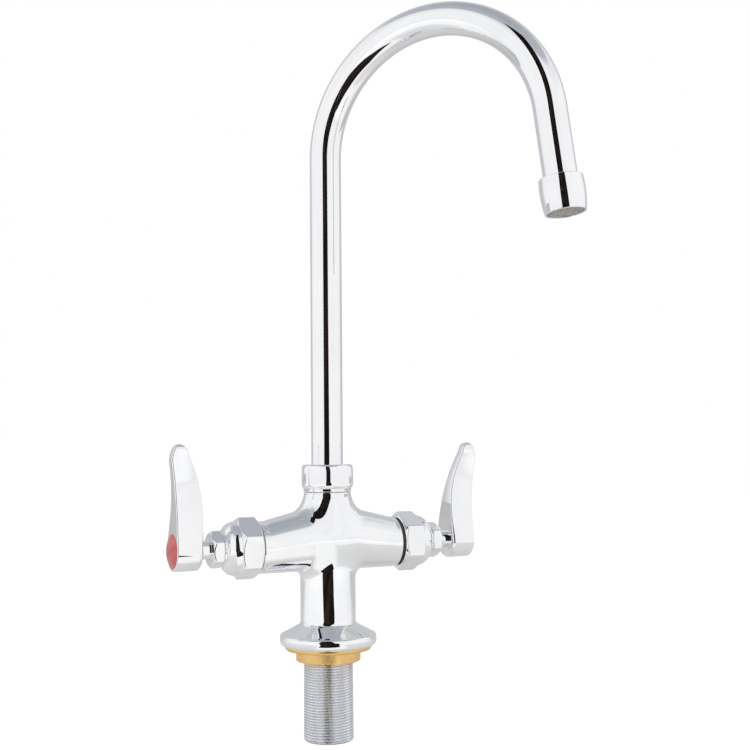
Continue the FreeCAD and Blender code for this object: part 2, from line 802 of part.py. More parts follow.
def make_swivel_nut():
    """A hexagon nut whose corners are rounded off, over a round lip."""
    body = new_body("swivel_nut")
    corner_radius = nut_flats / SQRT3
    corner_height = nut_rounding * 0.7
    hexagon_bottom = nut_bottom + nut_lip_height
    turned(body, "nut", [
        Corner(nut_bottom, swivel_thread + still_gap),
        Corner(nut_bottom, nut_lip_radius),
        Corner(hexagon_bottom, nut_lip_radius),
        Corner(hexagon_bottom + corner_height, corner_radius, nut_rounding),
        Corner(nut_top - corner_height, corner_radius),
        Corner(nut_top, nut_lip_radius, nut_rounding),
        Corner(nut_top, tube_radius + free_gap),
        Corner(swivel_washer_top, tube_radius + free_gap),
        Corner(swivel_washer_top, swivel_thread + still_gap),
    ], "Z")
    cut_flats(body, "flats", 6, nut_flats, hexagon_bottom, nut_height, swivel_nut_turn, "Z")
    return finish(body)


def make_swivel_washer():
    """The slippery washer that the sleeve's collar turns against."""
    body = new_body("swivel_washer")
    turned(body, "washer", [
        Corner(collar_top + face_gap, tube_radius + free_gap),
        Corner(collar_top + face_gap, swivel_thread - free_gap),
        Corner(swivel_washer_top, swivel_thread - free_gap),
        Corner(swivel_washer_top, tube_radius + free_gap),
    ], "Z")
    return finish(body)


def groove_bottoms():
    first = sleeve_bottom + groove_margin
    return [first, first + groove_spacing]


def make_swivel_sleeve():
    """The turned bush brazed on the tube's foot, with a collar and two O-ring grooves."""
    body = new_body("swivel_sleeve")
    corners = [Corner(sleeve_bottom, sleeve_bore), Corner(sleeve_bottom, sleeve_radius)]
    for bottom in groove_bottoms():
        corners += [
            Corner(bottom, sleeve_radius),
            Corner(bottom, groove_floor),
            Corner(bottom + groove_width, groove_floor),
            Corner(bottom + groove_width, sleeve_radius),
        ]
    corners += [
        Corner(collar_bottom, sleeve_radius),
        Corner(collar_bottom, collar_radius),
        Corner(collar_top, collar_radius),
        Corner(collar_top, tube_radius + still_gap),
        Corner(collar_top - tube_socket, tube_radius + still_gap),
        Corner(collar_top - tube_socket, sleeve_bore),
    ]
    turned(body, "sleeve", corners, "Z")
    place_on_gooseneck(body)
    return finish(body)


def make_swivel_o_ring(name, bottom):
    ring = doc.addObject("Part::Torus", name)
    ring.Label = name
    ring.setExpression("Radius1", (sleeve_radius - ring_section).text)
    ring.setExpression("Radius2", ring_section.text)
    place(ring, 0, 0, bottom + groove_width / 2, -swing)
    return finish(ring)


# Gooseneck tube

def make_gooseneck_tube():
    """A plain tube: straight up from the sleeve, round the bend and down to the adapter."""
    body = new_body("gooseneck_tube")
    foot = collar_top - tube_socket
    stop = adapter_bottom + adapter_stop
    run = tail_length - stop
    bend_end_x = bend_radius * (1 + cosine(outlet_lean))
    bend_end_z = bend_start + bend_radius * sine(outlet_lean)
    spine = new_sketch(body, "tube_path", "XZ_Plane")
    corners = [
        Corner(0, foot),
        Corner(0, bend_start),
        Corner(bend_end_x, bend_end_z, bend_radius),
        Corner(bend_end_x + run * sine(outlet_lean), bend_end_z - run * cosine(outlet_lean)),
    ]
    draw_path(spine, corners)
    section = new_sketch(body, "tube_section", "XY_Plane", foot)
    draw_circle(section, tube_radius)
    draw_circle(section, tube_radius - tube_wall)
    doc.recompute()
    pipe = body.newObject("PartDesign::AdditivePipe", "tube")
    pipe.Profile = section
    pipe.Spine = (spine, ["Edge1", "Edge2", "Edge3"])
    place_on_gooseneck(body)
    return finish(body)


# Outlet and aerator: own +Z runs back up the tube's tail, from the centre of the outlet

insert_flange_bottom = insert_setback + insert_height
insert_top = insert_flange_bottom + insert_flange
adapter_bottom = insert_top + aerator_washer_thickness


def make_outlet_adapter():
    """The threaded ring brazed on the tube's end, with a stop inside."""
    body = new_body("outlet_adapter")
    stop = adapter_bottom + adapter_stop
    turned(body, "adapter", [
        Corner(adapter_bottom, tube_radius - tube_wall),
        Corner(adapter_bottom, outlet_thread - still_gap),
        Corner(adapter_bottom + adapter_height, outlet_thread - still_gap),
        Corner(adapter_bottom + adapter_height, tube_radius + still_gap),
        Corner(stop, tube_radius + still_gap),
        Corner(stop, tube_radius - tube_wall),
    ], "Z")
    place_at_outlet(body)
    return finish(body)


def make_aerator_housing():
    """The barrel-shaped chromed cap that holds the insert up against the adapter."""
    body = new_body("aerator_housing")
    widest = housing_length * 0.55
    turned(body, "housing", [
        Corner(0, insert_radius + still_gap),
        Corner(0, housing_foot_radius - housing_rounding),
        Corner(housing_rounding, housing_foot_radius, housing_rounding),
        Corner(widest, housing_radius, housing_belly),
        Corner(housing_length - housing_rounding, housing_radius),
        Corner(housing_length, housing_radius - housing_rounding, housing_rounding),
        Corner(housing_length, outlet_thread),
        Corner(insert_flange_bottom, outlet_thread),
        Corner(insert_flange_bottom, insert_radius + still_gap),
    ], "Z")
    place_at_outlet(body)
    return finish(body)


def make_aerator_washer():
    body = new_body("aerator_washer")
    turned(body, "washer", [
        Corner(insert_top, tube_radius - tube_wall),
        Corner(insert_top, outlet_thread - still_gap),
        Corner(adapter_bottom, outlet_thread - still_gap),
        Corner(adapter_bottom, tube_radius - tube_wall),
    ], "Z")
    place_at_outlet(body)
    return finish(body)


def make_aerator_insert():
    """A plastic cup, open below, whose top plate is pierced by a centre hole and two rings."""
    body = new_body("aerator_insert")
    plate_bottom = insert_top - insert_plate
    step = insert_radius - insert_wall
    turned(body, "insert", [
        Corner(insert_setback, step),
        Corner(insert_setback, insert_radius),
        Corner(insert_flange_bottom, insert_radius),
        Corner(insert_flange_bottom, outlet_thread - still_gap),
        Corner(insert_top, outlet_thread - still_gap),
        Corner(insert_top, 0),
        Corner(plate_bottom, 0),
        Corner(plate_bottom, step),
    ], "Z")
    cut_round(body, "centre_hole", insert_hole, plate_bottom, insert_plate, "XY_Plane")
    for ring, count in ((1, 6), (2, 12)):
        hole = cut_round(body, f"ring_{ring}_hole", insert_hole, plate_bottom, insert_plate,
                         "XY_Plane", step * ring / 3)
        holes = body.newObject("PartDesign::PolarPattern", f"ring_{ring}_holes")
        holes.Originals = [hole]
        holes.Axis = (origin_plane(body, "Z_Axis"), [""])
        holes.Angle = FULL_TURN
        holes.Occurrences = count
        body.Tip = holes
        doc.recompute()
    place_at_outlet(body)
    return finish(body)


def make_aerator_screen():
    """Crossed bars in a round rim, just inside the outlet."""
    rim_radius = insert_radius - insert_wall - still_gap
    bottom = insert_setback + screen_thickness / 2
    reach = rim_radius - screen_bar
    rim = round_bar("screen_rim_disc", rim_radius, screen_thickness, 0, 0, bottom)
    opening = round_bar("screen_opening", reach - screen_bar, screen_thickness, 0, 0, bottom)
    ring = doc.addObject("Part::Cut", "screen_rim")
    ring.Base = rim
    ring.Tool = opening
    bars = []
    count = int(reach.number / screen_pitch.number)
    for step in range(-count, count + 1):
        for across in (True, False):
            bar = doc.addObject("Part::Box", f"screen_bar_{'x' if across else 'y'}_{step + count}")
            long_side = "Length" if across else "Width"
            short_side = "Width" if across else "Length"
            bar.setExpression(long_side, (2 * reach).text)
            bar.setExpression(short_side, screen_bar.text)
            bar.setExpression("Height", screen_thickness.text)
            offset = screen_pitch * step - screen_bar / 2
            if across:
                place(bar, -reach, offset, bottom)
            else:
                place(bar, offset, -reach, bottom)
            bars.append(bar)
    grid = doc.addObject("Part::MultiFuse", "screen_grid")
    grid.Shapes = bars
    inside = doc.addObject("Part::Common", "screen_mesh")
    inside.Base = grid
    inside.Tool = round_bar("screen_edge", reach, screen_thickness, 0, 0, bottom)
    screen = doc.addObject("Part::Fuse", "aerator_screen")
    screen.Label = "aerator_screen"
    screen.Base = ring
    screen.Tool = inside
    place_at_outlet(screen)
    return finish(screen)


# Valves: own +X runs outward along the handle axis, and the origin is on the faucet's axis

bonnet_start = arm_reach - bonnet_screwed
bonnet_face = arm_reach + bonnet_gap
hexagon_start = bonnet_face + bonnet_inner_chamfer
hexagon_end = hexagon_start + bonnet_hexagon
dome_start = hexagon_end + bonnet_outer_chamfer
dome_end = dome_start + dome_length
bonnet_end = dome_end + bonnet_collar
gland_bottom = bonnet_end - gland_screwed
packing_bottom = gland_bottom - packing_length
gland_face = bonnet_end + face_gap
gland_end = gland_face + gland_head
lip_end = chamber_start + seat_lip
piston_face = lip_end + face_gap + seat_washer_proud
washer_back = lip_end + face_gap + seat_washer_thickness
piston_bore_floor = washer_back + piston_web
piston_end = piston_face + piston_length
collar_start = piston_end + piston_travel + 2 * face_gap
guide_end = collar_start + spindle_collar + face_gap
hub_end = hub_start + hub_length
button_face = hub_end - button_seat
recess_floor = button_face - screw_recess


def make_valve_seat(side):
    """The screwed-in seat with a raised lip that the washer shuts on."""
    body = new_body(side.name + "_valve_seat")
    start = chamber_start - seat_length
    turned(body, "seat", [
        Corner(start, seat_bore),
        Corner(start, seat_radius),
        Corner(chamber_start, seat_radius),
        Corner(chamber_start, seat_lip_radius),
        Corner(lip_end, seat_lip_radius - seat_lip / 2),
        Corner(lip_end, seat_bore),
    ], "X")
    side.still(body)
    return finish(body)


def make_seat_washer(side):
    body = new_body(side.name + "_seat_washer")
    turned(body, "washer", [
        Corner(lip_end + face_gap, seat_screw_radius + still_gap),
        Corner(lip_end + face_gap, seat_washer_radius),
        Corner(washer_back, seat_washer_radius),
        Corner(washer_back, seat_screw_radius + still_gap),
    ], "X")
    side.still(body)
    return finish(body)


def make_seat_screw(side):
    """The slotted screw that holds the seat washer in the piston."""
    body = new_body(side.name + "_seat_screw")
    head_end = lip_end + face_gap
    head_start = head_end - seat_screw_head_height
    turned(body, "screw", [
        Corner(head_start, 0),
        Corner(head_start, seat_screw_head),
        Corner(head_end, seat_screw_head),
        Corner(head_end, seat_screw_radius),
        Corner(piston_bore_floor - face_gap, seat_screw_radius),
        Corner(piston_bore_floor - face_gap, 0),
    ], "X")
    cut_slot(body, "slot", screw_slot * 0.8, 3 * seat_screw_head, head_start, seat_screw_head_height / 2)
    side.still(body)
    return finish(body)


def cut_slot(body, name, width, length, start, depth):
    """Mill a screwdriver slot across the end of a piece, from start along +X."""
    sketch = new_sketch(body, name + "_outline", "YZ_Plane", start)
    draw_outline(sketch, [
        Corner(-width / 2, -length / 2),
        Corner(width / 2, -length / 2),
        Corner(width / 2, length / 2),
        Corner(-width / 2, length / 2),
    ])
    return pocket(body, sketch, name, depth)


def make_piston(side):
    """The six-sided carrier that slides in the bonnet: washer cup in front, steep thread behind."""
    body = new_body(side.name + "_piston")
    turned(body, "piston", [
        Corner(piston_face, seat_washer_radius + still_gap),
        Corner(piston_face, piston_flats / SQRT3),
        Corner(piston_end, piston_flats / SQRT3),
        Corner(piston_end, spindle_thread + fit_gap),
        Corner(piston_bore_floor, spindle_thread + fit_gap),
        Corner(piston_bore_floor, seat_screw_radius + still_gap),
        Corner(washer_back, seat_screw_radius + still_gap),
        Corner(washer_back, seat_washer_radius + still_gap),
    ], "X")
    cut_flats(body, "flats", 6, piston_flats, piston_face, piston_length, guide_turn, "X")
    side.still(body)
    return finish(body)


def make_bonnet(side):
    """The big hexagon with a domed shoulder, screwed into the arm; it guides the piston."""
    body = new_body(side.name + "_bonnet")
    corner_radius = bonnet_flats / SQRT3
    turned(body, "bonnet", [
        Corner(bonnet_start, bonnet_mouth),
        Corner(bonnet_start, bonnet_thread - still_gap),
        Corner(bonnet_face, bonnet_thread - still_gap),
        Corner(bonnet_face, bonnet_face_radius),
        Corner(hexagon_start, corner_radius),
        Corner(hexagon_end, corner_radius),
        Corner(dome_start, dome_start_radius),
        Corner(dome_end, dome_end_radius, dome_rounding),
        Corner(dome_end, bonnet_collar_radius),
        Corner(bonnet_end, bonnet_collar_radius),
        Corner(bonnet_end, gland_thread + still_gap),
        Corner(packing_bottom, gland_thread + still_gap),
        Corner(packing_bottom, spindle_radius + fit_gap),
        Corner(guide_end, spindle_radius + fit_gap),
        Corner(guide_end, spindle_collar_radius + fit_gap),
        Corner(bonnet_start, spindle_collar_radius + fit_gap),
    ], "X")
    cut_flats(body, "flats", 6, bonnet_flats, bonnet_face, dome_end - bonnet_face,
              side.bonnet_turn, "X")
    cut_prism(body, "guide", 6, piston_flats + 2 * piston_guide_gap, bonnet_start,
              guide_end - spindle_collar - bonnet_start, guide_turn)
    side.still(body)
    return finish(body)


def make_bonnet_washer(side):
    body = new_body(side.name + "_bonnet_washer")
    turned(body, "washer", [
        Corner(arm_reach + face_gap, bonnet_thread),
        Corner(arm_reach + face_gap, bonnet_washer_radius),
        Corner(bonnet_face - face_gap, bonnet_washer_radius),
        Corner(bonnet_face - face_gap, bonnet_thread),
    ], "X")
    side.still(body)
    return finish(body)


def make_packing(side):
    """The soft ring that the packing nut squeezes round the spindle."""
    body = new_body(side.name + "_packing")
    turned(body, "packing", [
        Corner(packing_bottom, spindle_radius + fit_gap),
        Corner(packing_bottom, gland_thread),
        Corner(gland_bottom, gland_thread),
        Corner(gland_bottom, spindle_radius + fit_gap),
    ], "X")
    side.still(body)
    return finish(body)


def make_packing_nut(side):
    """The small hexagon beside the handle, screwed into the bonnet's end."""
    body = new_body(side.name + "_packing_nut")
    corner_radius = gland_flats / SQRT3
    turned(body, "nut", [
        Corner(gland_bottom, spindle_radius + fit_gap),
        Corner(gland_bottom, gland_thread),
        Corner(gland_face, gland_thread),
        Corner(gland_face, gland_flats / 2),
        Corner(gland_face + gland_chamfer / 3, corner_radius),
        Corner(gland_end - gland_chamfer, corner_radius),
        Corner(gland_end, corner_radius - gland_chamfer),
        Corner(gland_end, spindle_radius + fit_gap),
    ], "X")
    cut_flats(body, "flats", 6, gland_flats, gland_face, gland_head, side.bonnet_turn, "X")
    side.still(body)
    return finish(body)


# Handles: they turn with the spindle, so their pieces share its lean

def make_spindle(side):
    """Steep thread inside, collar, plain shaft through the packing, and a driving square."""
    body = new_body(side.name + "_spindle")
    thread_start = piston_bore_floor + piston_travel + free_gap
    square_start = hub_start - face_gap
    square_end = square_start + square_length
    turned(body, "spindle", [
        Corner(thread_start, 0),
        Corner(thread_start, spindle_thread),
        Corner(collar_start, spindle_thread),
        Corner(collar_start, spindle_collar_radius),
        Corner(collar_start + spindle_collar, spindle_collar_radius),
        Corner(collar_start + spindle_collar, spindle_radius),
        Corner(square_end, spindle_radius),
        Corner(square_end, screw_radius + still_gap),
        Corner(square_end - screw_length, screw_radius + still_gap),
        Corner(square_end - screw_length, 0),
    ], "X")
    cut_flats(body, "square", 4, square_flats, square_start, square_length + free_gap, SQUARE_TURN, "X")
    side.leaning(body)
    return finish(body)


def make_lever(side):
    """Round hub and blade in one casting: the blade is extruded, then cut to its front outline."""
    body = new_body(side.name + "_lever")
    turned(body, "hub", [
        Corner(hub_start, 0),
        Corner(hub_start, hub_radius - hub_rounding),
        Corner(hub_start + hub_rounding, hub_radius, hub_rounding),
        Corner(hub_end, hub_radius),
        Corner(hub_end, 0),
    ], "X")
    lever_side_outline(body)
    lever_front_cut(body)
    cut_prism(body, "spindle_socket", 4, square_flats + 2 * still_gap, hub_start,
              square_length + 2 * face_gap, SQUARE_TURN)
    cut_round(body, "screw_hole", screw_radius + 2 * still_gap, hub_start,
              recess_floor - hub_start, "YZ_Plane")
    cut_round(body, "screw_recess", screw_recess_radius, recess_floor, screw_recess, "YZ_Plane")
    cut_round(body, "button_recess", button_radius + still_gap, button_face,
              button_seat + lever_flare, "YZ_Plane")
    side.leaning(body)
    return finish(body)


def lever_side_outline(body):
    """Seen along the handle axis: shoulders tapering in from the hub, hollow flanks, rounded tip."""
    sketch = new_sketch(body, "side_outline", "YZ_Plane", hub_start)
    tip_centre = lever_length - tip_half
    draw_outline(sketch, [
        Corner(hub_radius, 0),
        Corner(shoulder_half, shoulder_height),
        Corner(blade_foot_half, blade_foot_height, blade_hollow),
        Corner(tip_half, tip_centre),
        Corner(0, lever_length, -tip_half),
        Corner(-tip_half, tip_centre, -tip_half),
        Corner(-blade_foot_half, blade_foot_height),
        Corner(-shoulder_half, shoulder_height, blade_hollow),
        Corner(-hub_radius, 0),
    ])
    pad(body, sketch, "lever_block", hub_length + lever_flare)


def lever_front_cut(body):
    """Seen from the user: a straight hub, a flaring outer edge and a curved inner edge."""
    doc.recompute()
    below = -hub_radius - free_gap
    tip_outer = hub_end + lever_flare
    tip_shoulder = lever_length - tip_round_height
    tip_top = tip_outer - tip_width / 2
    sketch = new_sketch(body, "front_outline", "XZ_Plane")
    draw_outline(sketch, [
        Corner(hub_start - free_gap, below - free_gap),
        Corner(tip_outer + free_gap, below - free_gap),
        Corner(tip_outer + free_gap, lever_length + free_gap),
        Corner(hub_start - free_gap, lever_length + free_gap),
    ])
    draw_outline(sketch, [
        Corner(hub_start, below),
        Corner(hub_end, below),
        Corner(hub_end, flare_start),
        Corner(tip_outer, tip_shoulder, outer_edge_radius),
        Corner(tip_top, lever_length - face_gap, -tip_outer_radius),
        Corner(tip_outer - tip_width, lever_length - tip_height, -tip_inner_radius),
        Corner(hub_start, inner_edge_start, -inner_edge_radius),
    ])
    pocket(body, sketch, "front_cut", 3 * hub_radius, middle=True)


def make_handle_screw(side):
    """The slotted screw under the button that holds the lever on its spindle."""
    body = new_body(side.name + "_handle_screw")
    head_start = recess_floor + face_gap
    head_end = head_start + screw_head_height
    thread_end = head_start - screw_length
    turned(body, "screw", [
        Corner(thread_end, 0),
        Corner(thread_end, screw_radius),
        Corner(head_start, screw_radius),
        Corner(head_start, screw_head_radius),
        Corner(head_end, screw_head_radius),
        Corner(head_end, 0),
    ], "X")
    cut_slot(body, "slot", screw_slot, 3 * screw_head_radius, head_end - screw_head_height / 2,
             screw_head_height)
    side.leaning(body)
    return finish(body)


def make_index_button(side):
    """The coloured button pressed into the hub's outer end, with a shallow dome."""
    body = new_body(side.name + "_index_button")
    dome_radius = (button_radius * button_radius / button_dome + button_dome) / 2
    start = button_face + face_gap
    turned(body, "button", [
        Corner(start, 0),
        Corner(start, button_radius),
        Corner(hub_end, button_radius),
        Corner(hub_end + button_dome, 0, dome_radius),
    ], "X")
    side.leaning(body)
    return finish(body)


hot_side = Side("hot", 180, -lever_lean, hot_bonnet_turn)
cold_side = Side("cold", 0, lever_lean, cold_bonnet_turn)

make_body_casting()
make_threaded_shank()
make_deck_washer()
make_lock_nut()
make_swivel_nut()
make_swivel_washer()
make_swivel_sleeve()
for number, groove_bottom in enumerate(groove_bottoms(), 1):
    make_swivel_o_ring(f"swivel_o_ring_{number}", groove_bottom)
make_gooseneck_tube()
make_outlet_adapter()
make_aerator_housing()
make_aerator_washer()
make_aerator_insert()
make_aerator_screen()
for one_side in (hot_side, cold_side):
    make_valve_seat(one_side)
    make_seat_washer(one_side)
    make_seat_screw(one_side)
    make_piston(one_side)
    make_bonnet(one_side)
    make_bonnet_washer(one_side)
    make_packing(one_side)
    make_packing_nut(one_side)
    make_spindle(one_side)
    make_lever(one_side)
    make_handle_screw(one_side)
    make_index_button(one_side)

doc.recompute()
for item in doc.Objects:
    if "Invalid" in item.State or "Error" in item.State:
        raise RuntimeError(f"{item.Label} failed")
for piece in parts:
    if piece.Shape.isNull() or not piece.Shape.isValid() or len(piece.Shape.Solids) != 1:
        raise RuntimeError(f"{piece.Label} is not one valid solid")
for piece in parts:
    piece.Shape.exportStep(f"parts/{piece.Label}.step")
    print(f"{piece.Label}: {piece.Shape.Volume:.1f} mm3")
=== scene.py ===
import math

import bmesh
import bpy
import numpy as np
from mathutils import Matrix, Vector


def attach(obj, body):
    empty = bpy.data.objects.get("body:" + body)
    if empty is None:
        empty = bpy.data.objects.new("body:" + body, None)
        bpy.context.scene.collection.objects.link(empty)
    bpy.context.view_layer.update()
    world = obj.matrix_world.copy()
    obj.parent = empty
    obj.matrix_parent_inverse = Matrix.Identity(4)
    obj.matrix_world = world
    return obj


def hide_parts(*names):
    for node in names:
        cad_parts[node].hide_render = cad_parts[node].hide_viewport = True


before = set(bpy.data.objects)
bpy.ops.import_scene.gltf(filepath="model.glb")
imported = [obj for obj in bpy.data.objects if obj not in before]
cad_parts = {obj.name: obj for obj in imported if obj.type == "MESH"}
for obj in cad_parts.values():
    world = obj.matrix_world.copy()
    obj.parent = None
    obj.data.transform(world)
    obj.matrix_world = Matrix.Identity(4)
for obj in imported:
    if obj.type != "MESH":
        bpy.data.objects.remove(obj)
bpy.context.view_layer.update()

# Sizes in millimetres, most of them the solids' own; meshes are made in millimetres and then shrunk
MM = 0.001
HANDLE_HEIGHT = 55.8
NECK_TOP = 85.3
FLANGE_RADIUS = 27.15
FLANGE_RIM = 6.6
RIM_ROUNDING = 2.4
CONE_TOP = 11.5
CONE_TOP_RADIUS = 16.6
COLUMN_RADIUS = 15.55
NECK_RADIUS = 13.3
ARM_RADIUS = 14.3
ARM_REACH = 40.3
ARM_RISE = 9.5
ARM_SWELL = 2.8
LOWER_BLEND = 4.5
UPPER_BLEND = 8.0
CHAMBER_RADIUS = 11.0
CHAMBER_STEP = 30.6
VALVE_RADIUS = 9.0
VALVE_START = 20.5
MIXING_RADIUS = 10.0
SWIVEL_FLOOR = 80.0
SPIGOT_RADIUS = 12.0
SPIGOT_HEIGHT = 8.3
SHANK_RADIUS = 14.0
SHANK_SMOOTH_RADIUS = 13.6
SHANK_SPIGOT_RADIUS = 13.0
SHANK_SPIGOT_HEIGHT = 10.0
SHANK_BORE = 11.5
SHANK_LENGTH = 52.2
THREAD_PITCH = 1.5
THREAD_DEPTH = 0.75
WASHER_RADIUS = 24.3
WASHER_HOLE = 14.3
WASHER_THICKNESS = 2.3
LOCK_NUT_RADIUS = 18.1
LOCK_NUT_HOLE = 13.7
LOCK_NUT_HEIGHT = 6.2
NOTCH_WIDTH = 3.4
NOTCH_DEPTH = 1.3
SWIVEL_FLATS = 28.8
SWIVEL_LIP = 13.5
SWIVEL_HEIGHT = 15.2
TUBE_RADIUS = 9.0
TUBE_WALL = 1.2
TUBE_BOTTOM = 90.1
BEND_START = 275.9
BEND_RADIUS = 69.1
TAIL_LENGTH = 56.2
TUBE_END = 9.3
HOUSING_FOOT = 10.8
HOUSING_RADIUS = 11.6
HOUSING_LENGTH = 18.5
OUTLET_THREAD = 10.7
SCREEN_RADIUS = 9.0
MOUTH_REACH = {"hot": 42.5, "cold": 41.0}
BONNET_FACE = 42.8
BONNET_HEXAGON_START = 44.7
BONNET_HEXAGON_END = 53.5
BONNET_FLATS = 30.0
BONNET_END = 63.4
BONNET_THREAD = 11.0
GLAND_FACE = 63.45
GLAND_FLATS = 18.0
GLAND_HEAD = 6.2
SPINDLE_RADIUS = 5.0
HUB_START = 75.5
HUB_END = 90.0
HUB_RADIUS = 10.8
HUB_ROUNDING = 2.4
LEVER_LENGTH = 57.4
LEVER_FLARE = 2.7
LEVER_EDGE = 0.7
BUTTON_RADIUS = 9.35
BUTTON_SEAT = 2.0
BUTTON_DOME = 2.65

# Sides, turns and angles
SIDES = ("hot", "cold")
HEXAGON = 6
FULL_TURN = 2 * math.pi
QUARTER_TURN = math.pi / 2
OUTLET_LEAN = math.radians(7.6)
SWING = math.radians(55.3)
LEVER_LEAN = math.radians(6.5)
SWIVEL_NUT_TURN = math.radians(12.5)
NOTCH_TURN = math.radians(246.0)
BONNET_TURN = {"hot": math.radians(24.5), "cold": math.radians(26.5)}
# Edges that are steeper than this stay crisp, and gentler ones are shaded smooth
CRISP = math.radians(38)


# Places

def side_matrix(side, leaning=False):
    """Own +X runs outward along the handle axis, from the faucet's axis."""
    turn = math.pi if side == "hot" else 0.0
    lean = -LEVER_LEAN if side == "hot" else LEVER_LEAN
    place = Matrix.Translation((0, 0, HANDLE_HEIGHT)) @ Matrix.Rotation(turn, 4, "Z")
    if leaning:
        place = place @ Matrix.Rotation(lean, 4, "X")
    return place


def outlet_matrix():
    """Own +Z runs back up the tube's tail, from the centre of the outlet."""
    x = BEND_RADIUS * (1 + math.cos(OUTLET_LEAN)) + TAIL_LENGTH * math.sin(OUTLET_LEAN)
    z = BEND_START + BEND_RADIUS * math.sin(OUTLET_LEAN) - TAIL_LENGTH * math.cos(OUTLET_LEAN)
    swing = Matrix.Rotation(-SWING, 4, "Z")
    return swing @ Matrix.Translation((x, 0, z)) @ Matrix.Rotation(-OUTLET_LEAN, 4, "Y")


# Outlines: points of (distance along the axis, radius); a corner has its rounding as a third number

# Share of the room between two corners that one rounding may take up
NEARLY_HALF = 0.49


def rounded(corners, steps=6):
    """A closed outline from corners of (along, radius, rounding)."""
    points = []
    for index, (along, radius, rounding) in enumerate(corners):
        here = np.array((along, radius), float)
        if rounding == 0:
            points.append(here)
            continue
        to_before = np.array(corners[index - 1][:2], float) - here
        to_after = np.array(corners[(index + 1) % len(corners)][:2], float) - here
        room = NEARLY_HALF * min(np.linalg.norm(to_before), np.linalg.norm(to_after))
        to_before /= np.linalg.norm(to_before)
        to_after /= np.linalg.norm(to_after)
        half = math.acos(np.clip(to_before @ to_after, -1, 1)) / 2
        reach = min(rounding / math.tan(half), room)
        middle = (to_before + to_after) / np.linalg.norm(to_before + to_after)
        centre = here + middle * reach / math.cos(half)
        first = here + to_before * reach - centre
        last = here + to_after * reach - centre
        sweep = math.pi - 2 * half
        for step in range(steps + 1):
            share = step / steps
            blend = math.sin((1 - share) * sweep) * first + math.sin(share * sweep) * last
            points.append(centre + blend / math.sin(sweep))
    return np.array(points)


def bulge(start, end, radius, steps=10):
    """Corners along an arc from start to end that bulges away from the axis."""
    start = np.array(start, float)
    end = np.array(end, float)
    chord = end - start
    length = np.linalg.norm(chord)
    outward = np.array((-chord[1], chord[0])) / length
    if outward[1] < 0:
        outward = -outward
    depth = math.sqrt(radius ** 2 - length ** 2 / 4)
    centre = (start + end) / 2 - outward * depth
    half = math.asin(length / 2 / radius)
    corners = []
    for step in range(steps + 1):
        angle = half * (2 * step / steps - 1)
        point = centre + radius * (outward * math.cos(angle) + chord / length * math.sin(angle))
        corners.append((point[0], point[1], 0))
    return corners


def dense(outline, longest):
    """The same closed outline with points added, so that no step is longer than this."""
    points = []
    for start, end in zip(outline, np.roll(outline, -1, axis=0)):
        parts = max(1, math.ceil(np.linalg.norm(end - start) / longest))
        points += [start + (end - start) * step / parts for step in range(parts)]
    return np.array(points)


# Shapes: vertices and faces

def soft_smaller(one, other, softness):
    """The smaller of two values, with the change from one to the other rounded."""
    closeness = np.maximum(softness - np.abs(one - other), 0) / softness
    return np.minimum(one, other) - closeness * closeness * softness / 4


def with_flats(across_flats, turn, start, end, softness=0.5, sharpness=90):
    """Cuts a hexagon's flats, as a rule for turned(): from start to end they hold the radius in."""
    facings = [turn + FULL_TURN * (side + 0.5) / HEXAGON for side in range(HEXAGON)]

    def rule(angle, along, reach):
        if not start <= along <= end:
            return reach
        nearness = np.log(sum(np.exp(sharpness * np.cos(angle - facing)) for facing in facings)) / sharpness
        return soft_smaller(reach, across_flats / 2 / nearness, softness)
    return rule


def with_notches(count, width, depth, rim, turn, start, end):
    """Cuts notches into a rim of this radius, as a rule for turned()."""
    wall_slope = 0.25

    def rule(angle, along, reach):
        if not start <= along <= end:
            return reach
        deepest = np.zeros_like(reach)
        for notch in range(count):
            off = (angle - turn - FULL_TURN * notch / count + math.pi) % FULL_TURN - math.pi
            across = np.abs(off) * reach
            deepest = np.maximum(deepest, np.clip((width / 2 - across) / wall_slope + 0.5, 0, 1))
        return np.where(reach > rim - depth, reach - depth * deepest, reach)
    return rule


def joined(rings):
    """Faces between neighbouring rings of vertex numbers; the last joins the first."""
    faces = []
    for low, high in zip(rings, rings[1:] + rings[:1]):
        for step in range(max(len(low), len(high))):
            after = step + 1
            if len(low) == 1 and len(high) == 1:
                continue
            if len(low) == 1:
                faces.append((low[0], high[after % len(high)], high[step]))
            elif len(high) == 1:
                faces.append((low[step], low[after % len(low)], high[0]))
            else:
                faces.append((low[step], low[after % len(low)], high[after % len(high)], high[step]))
    return faces


def add_ring(vertices, rings, points):
    """Add points to the vertices, and their numbers as one more ring."""
    rings.append(list(range(len(vertices), len(vertices) + len(points))))
    vertices.extend(tuple(point) for point in points)


def bearings(segments):
    """Angles evenly all the way round."""
    return np.arange(segments) * FULL_TURN / segments


def turned(outline, axis, segments=128, rule=None):
    """A closed outline turned round an axis; a rule may change the radius by angle."""
    no_radius = 1e-6
    angle = bearings(segments)
    vertices = []
    rings = []
    for along, radius in outline:
        if radius < no_radius:
            add_ring(vertices, rings, [(along, 0.0, 0.0)])
            continue
        reach = np.full(segments, float(radius))
        if rule is not None:
            reach = rule(angle, along, reach)
        ring = (np.full(segments, along), reach * np.cos(angle), reach * np.sin(angle))
        add_ring(vertices, rings, np.column_stack(ring))
    vertices = np.array(vertices)
    if axis == "Z":
        vertices = vertices[:, [1, 2, 0]]
    return vertices, joined(rings)


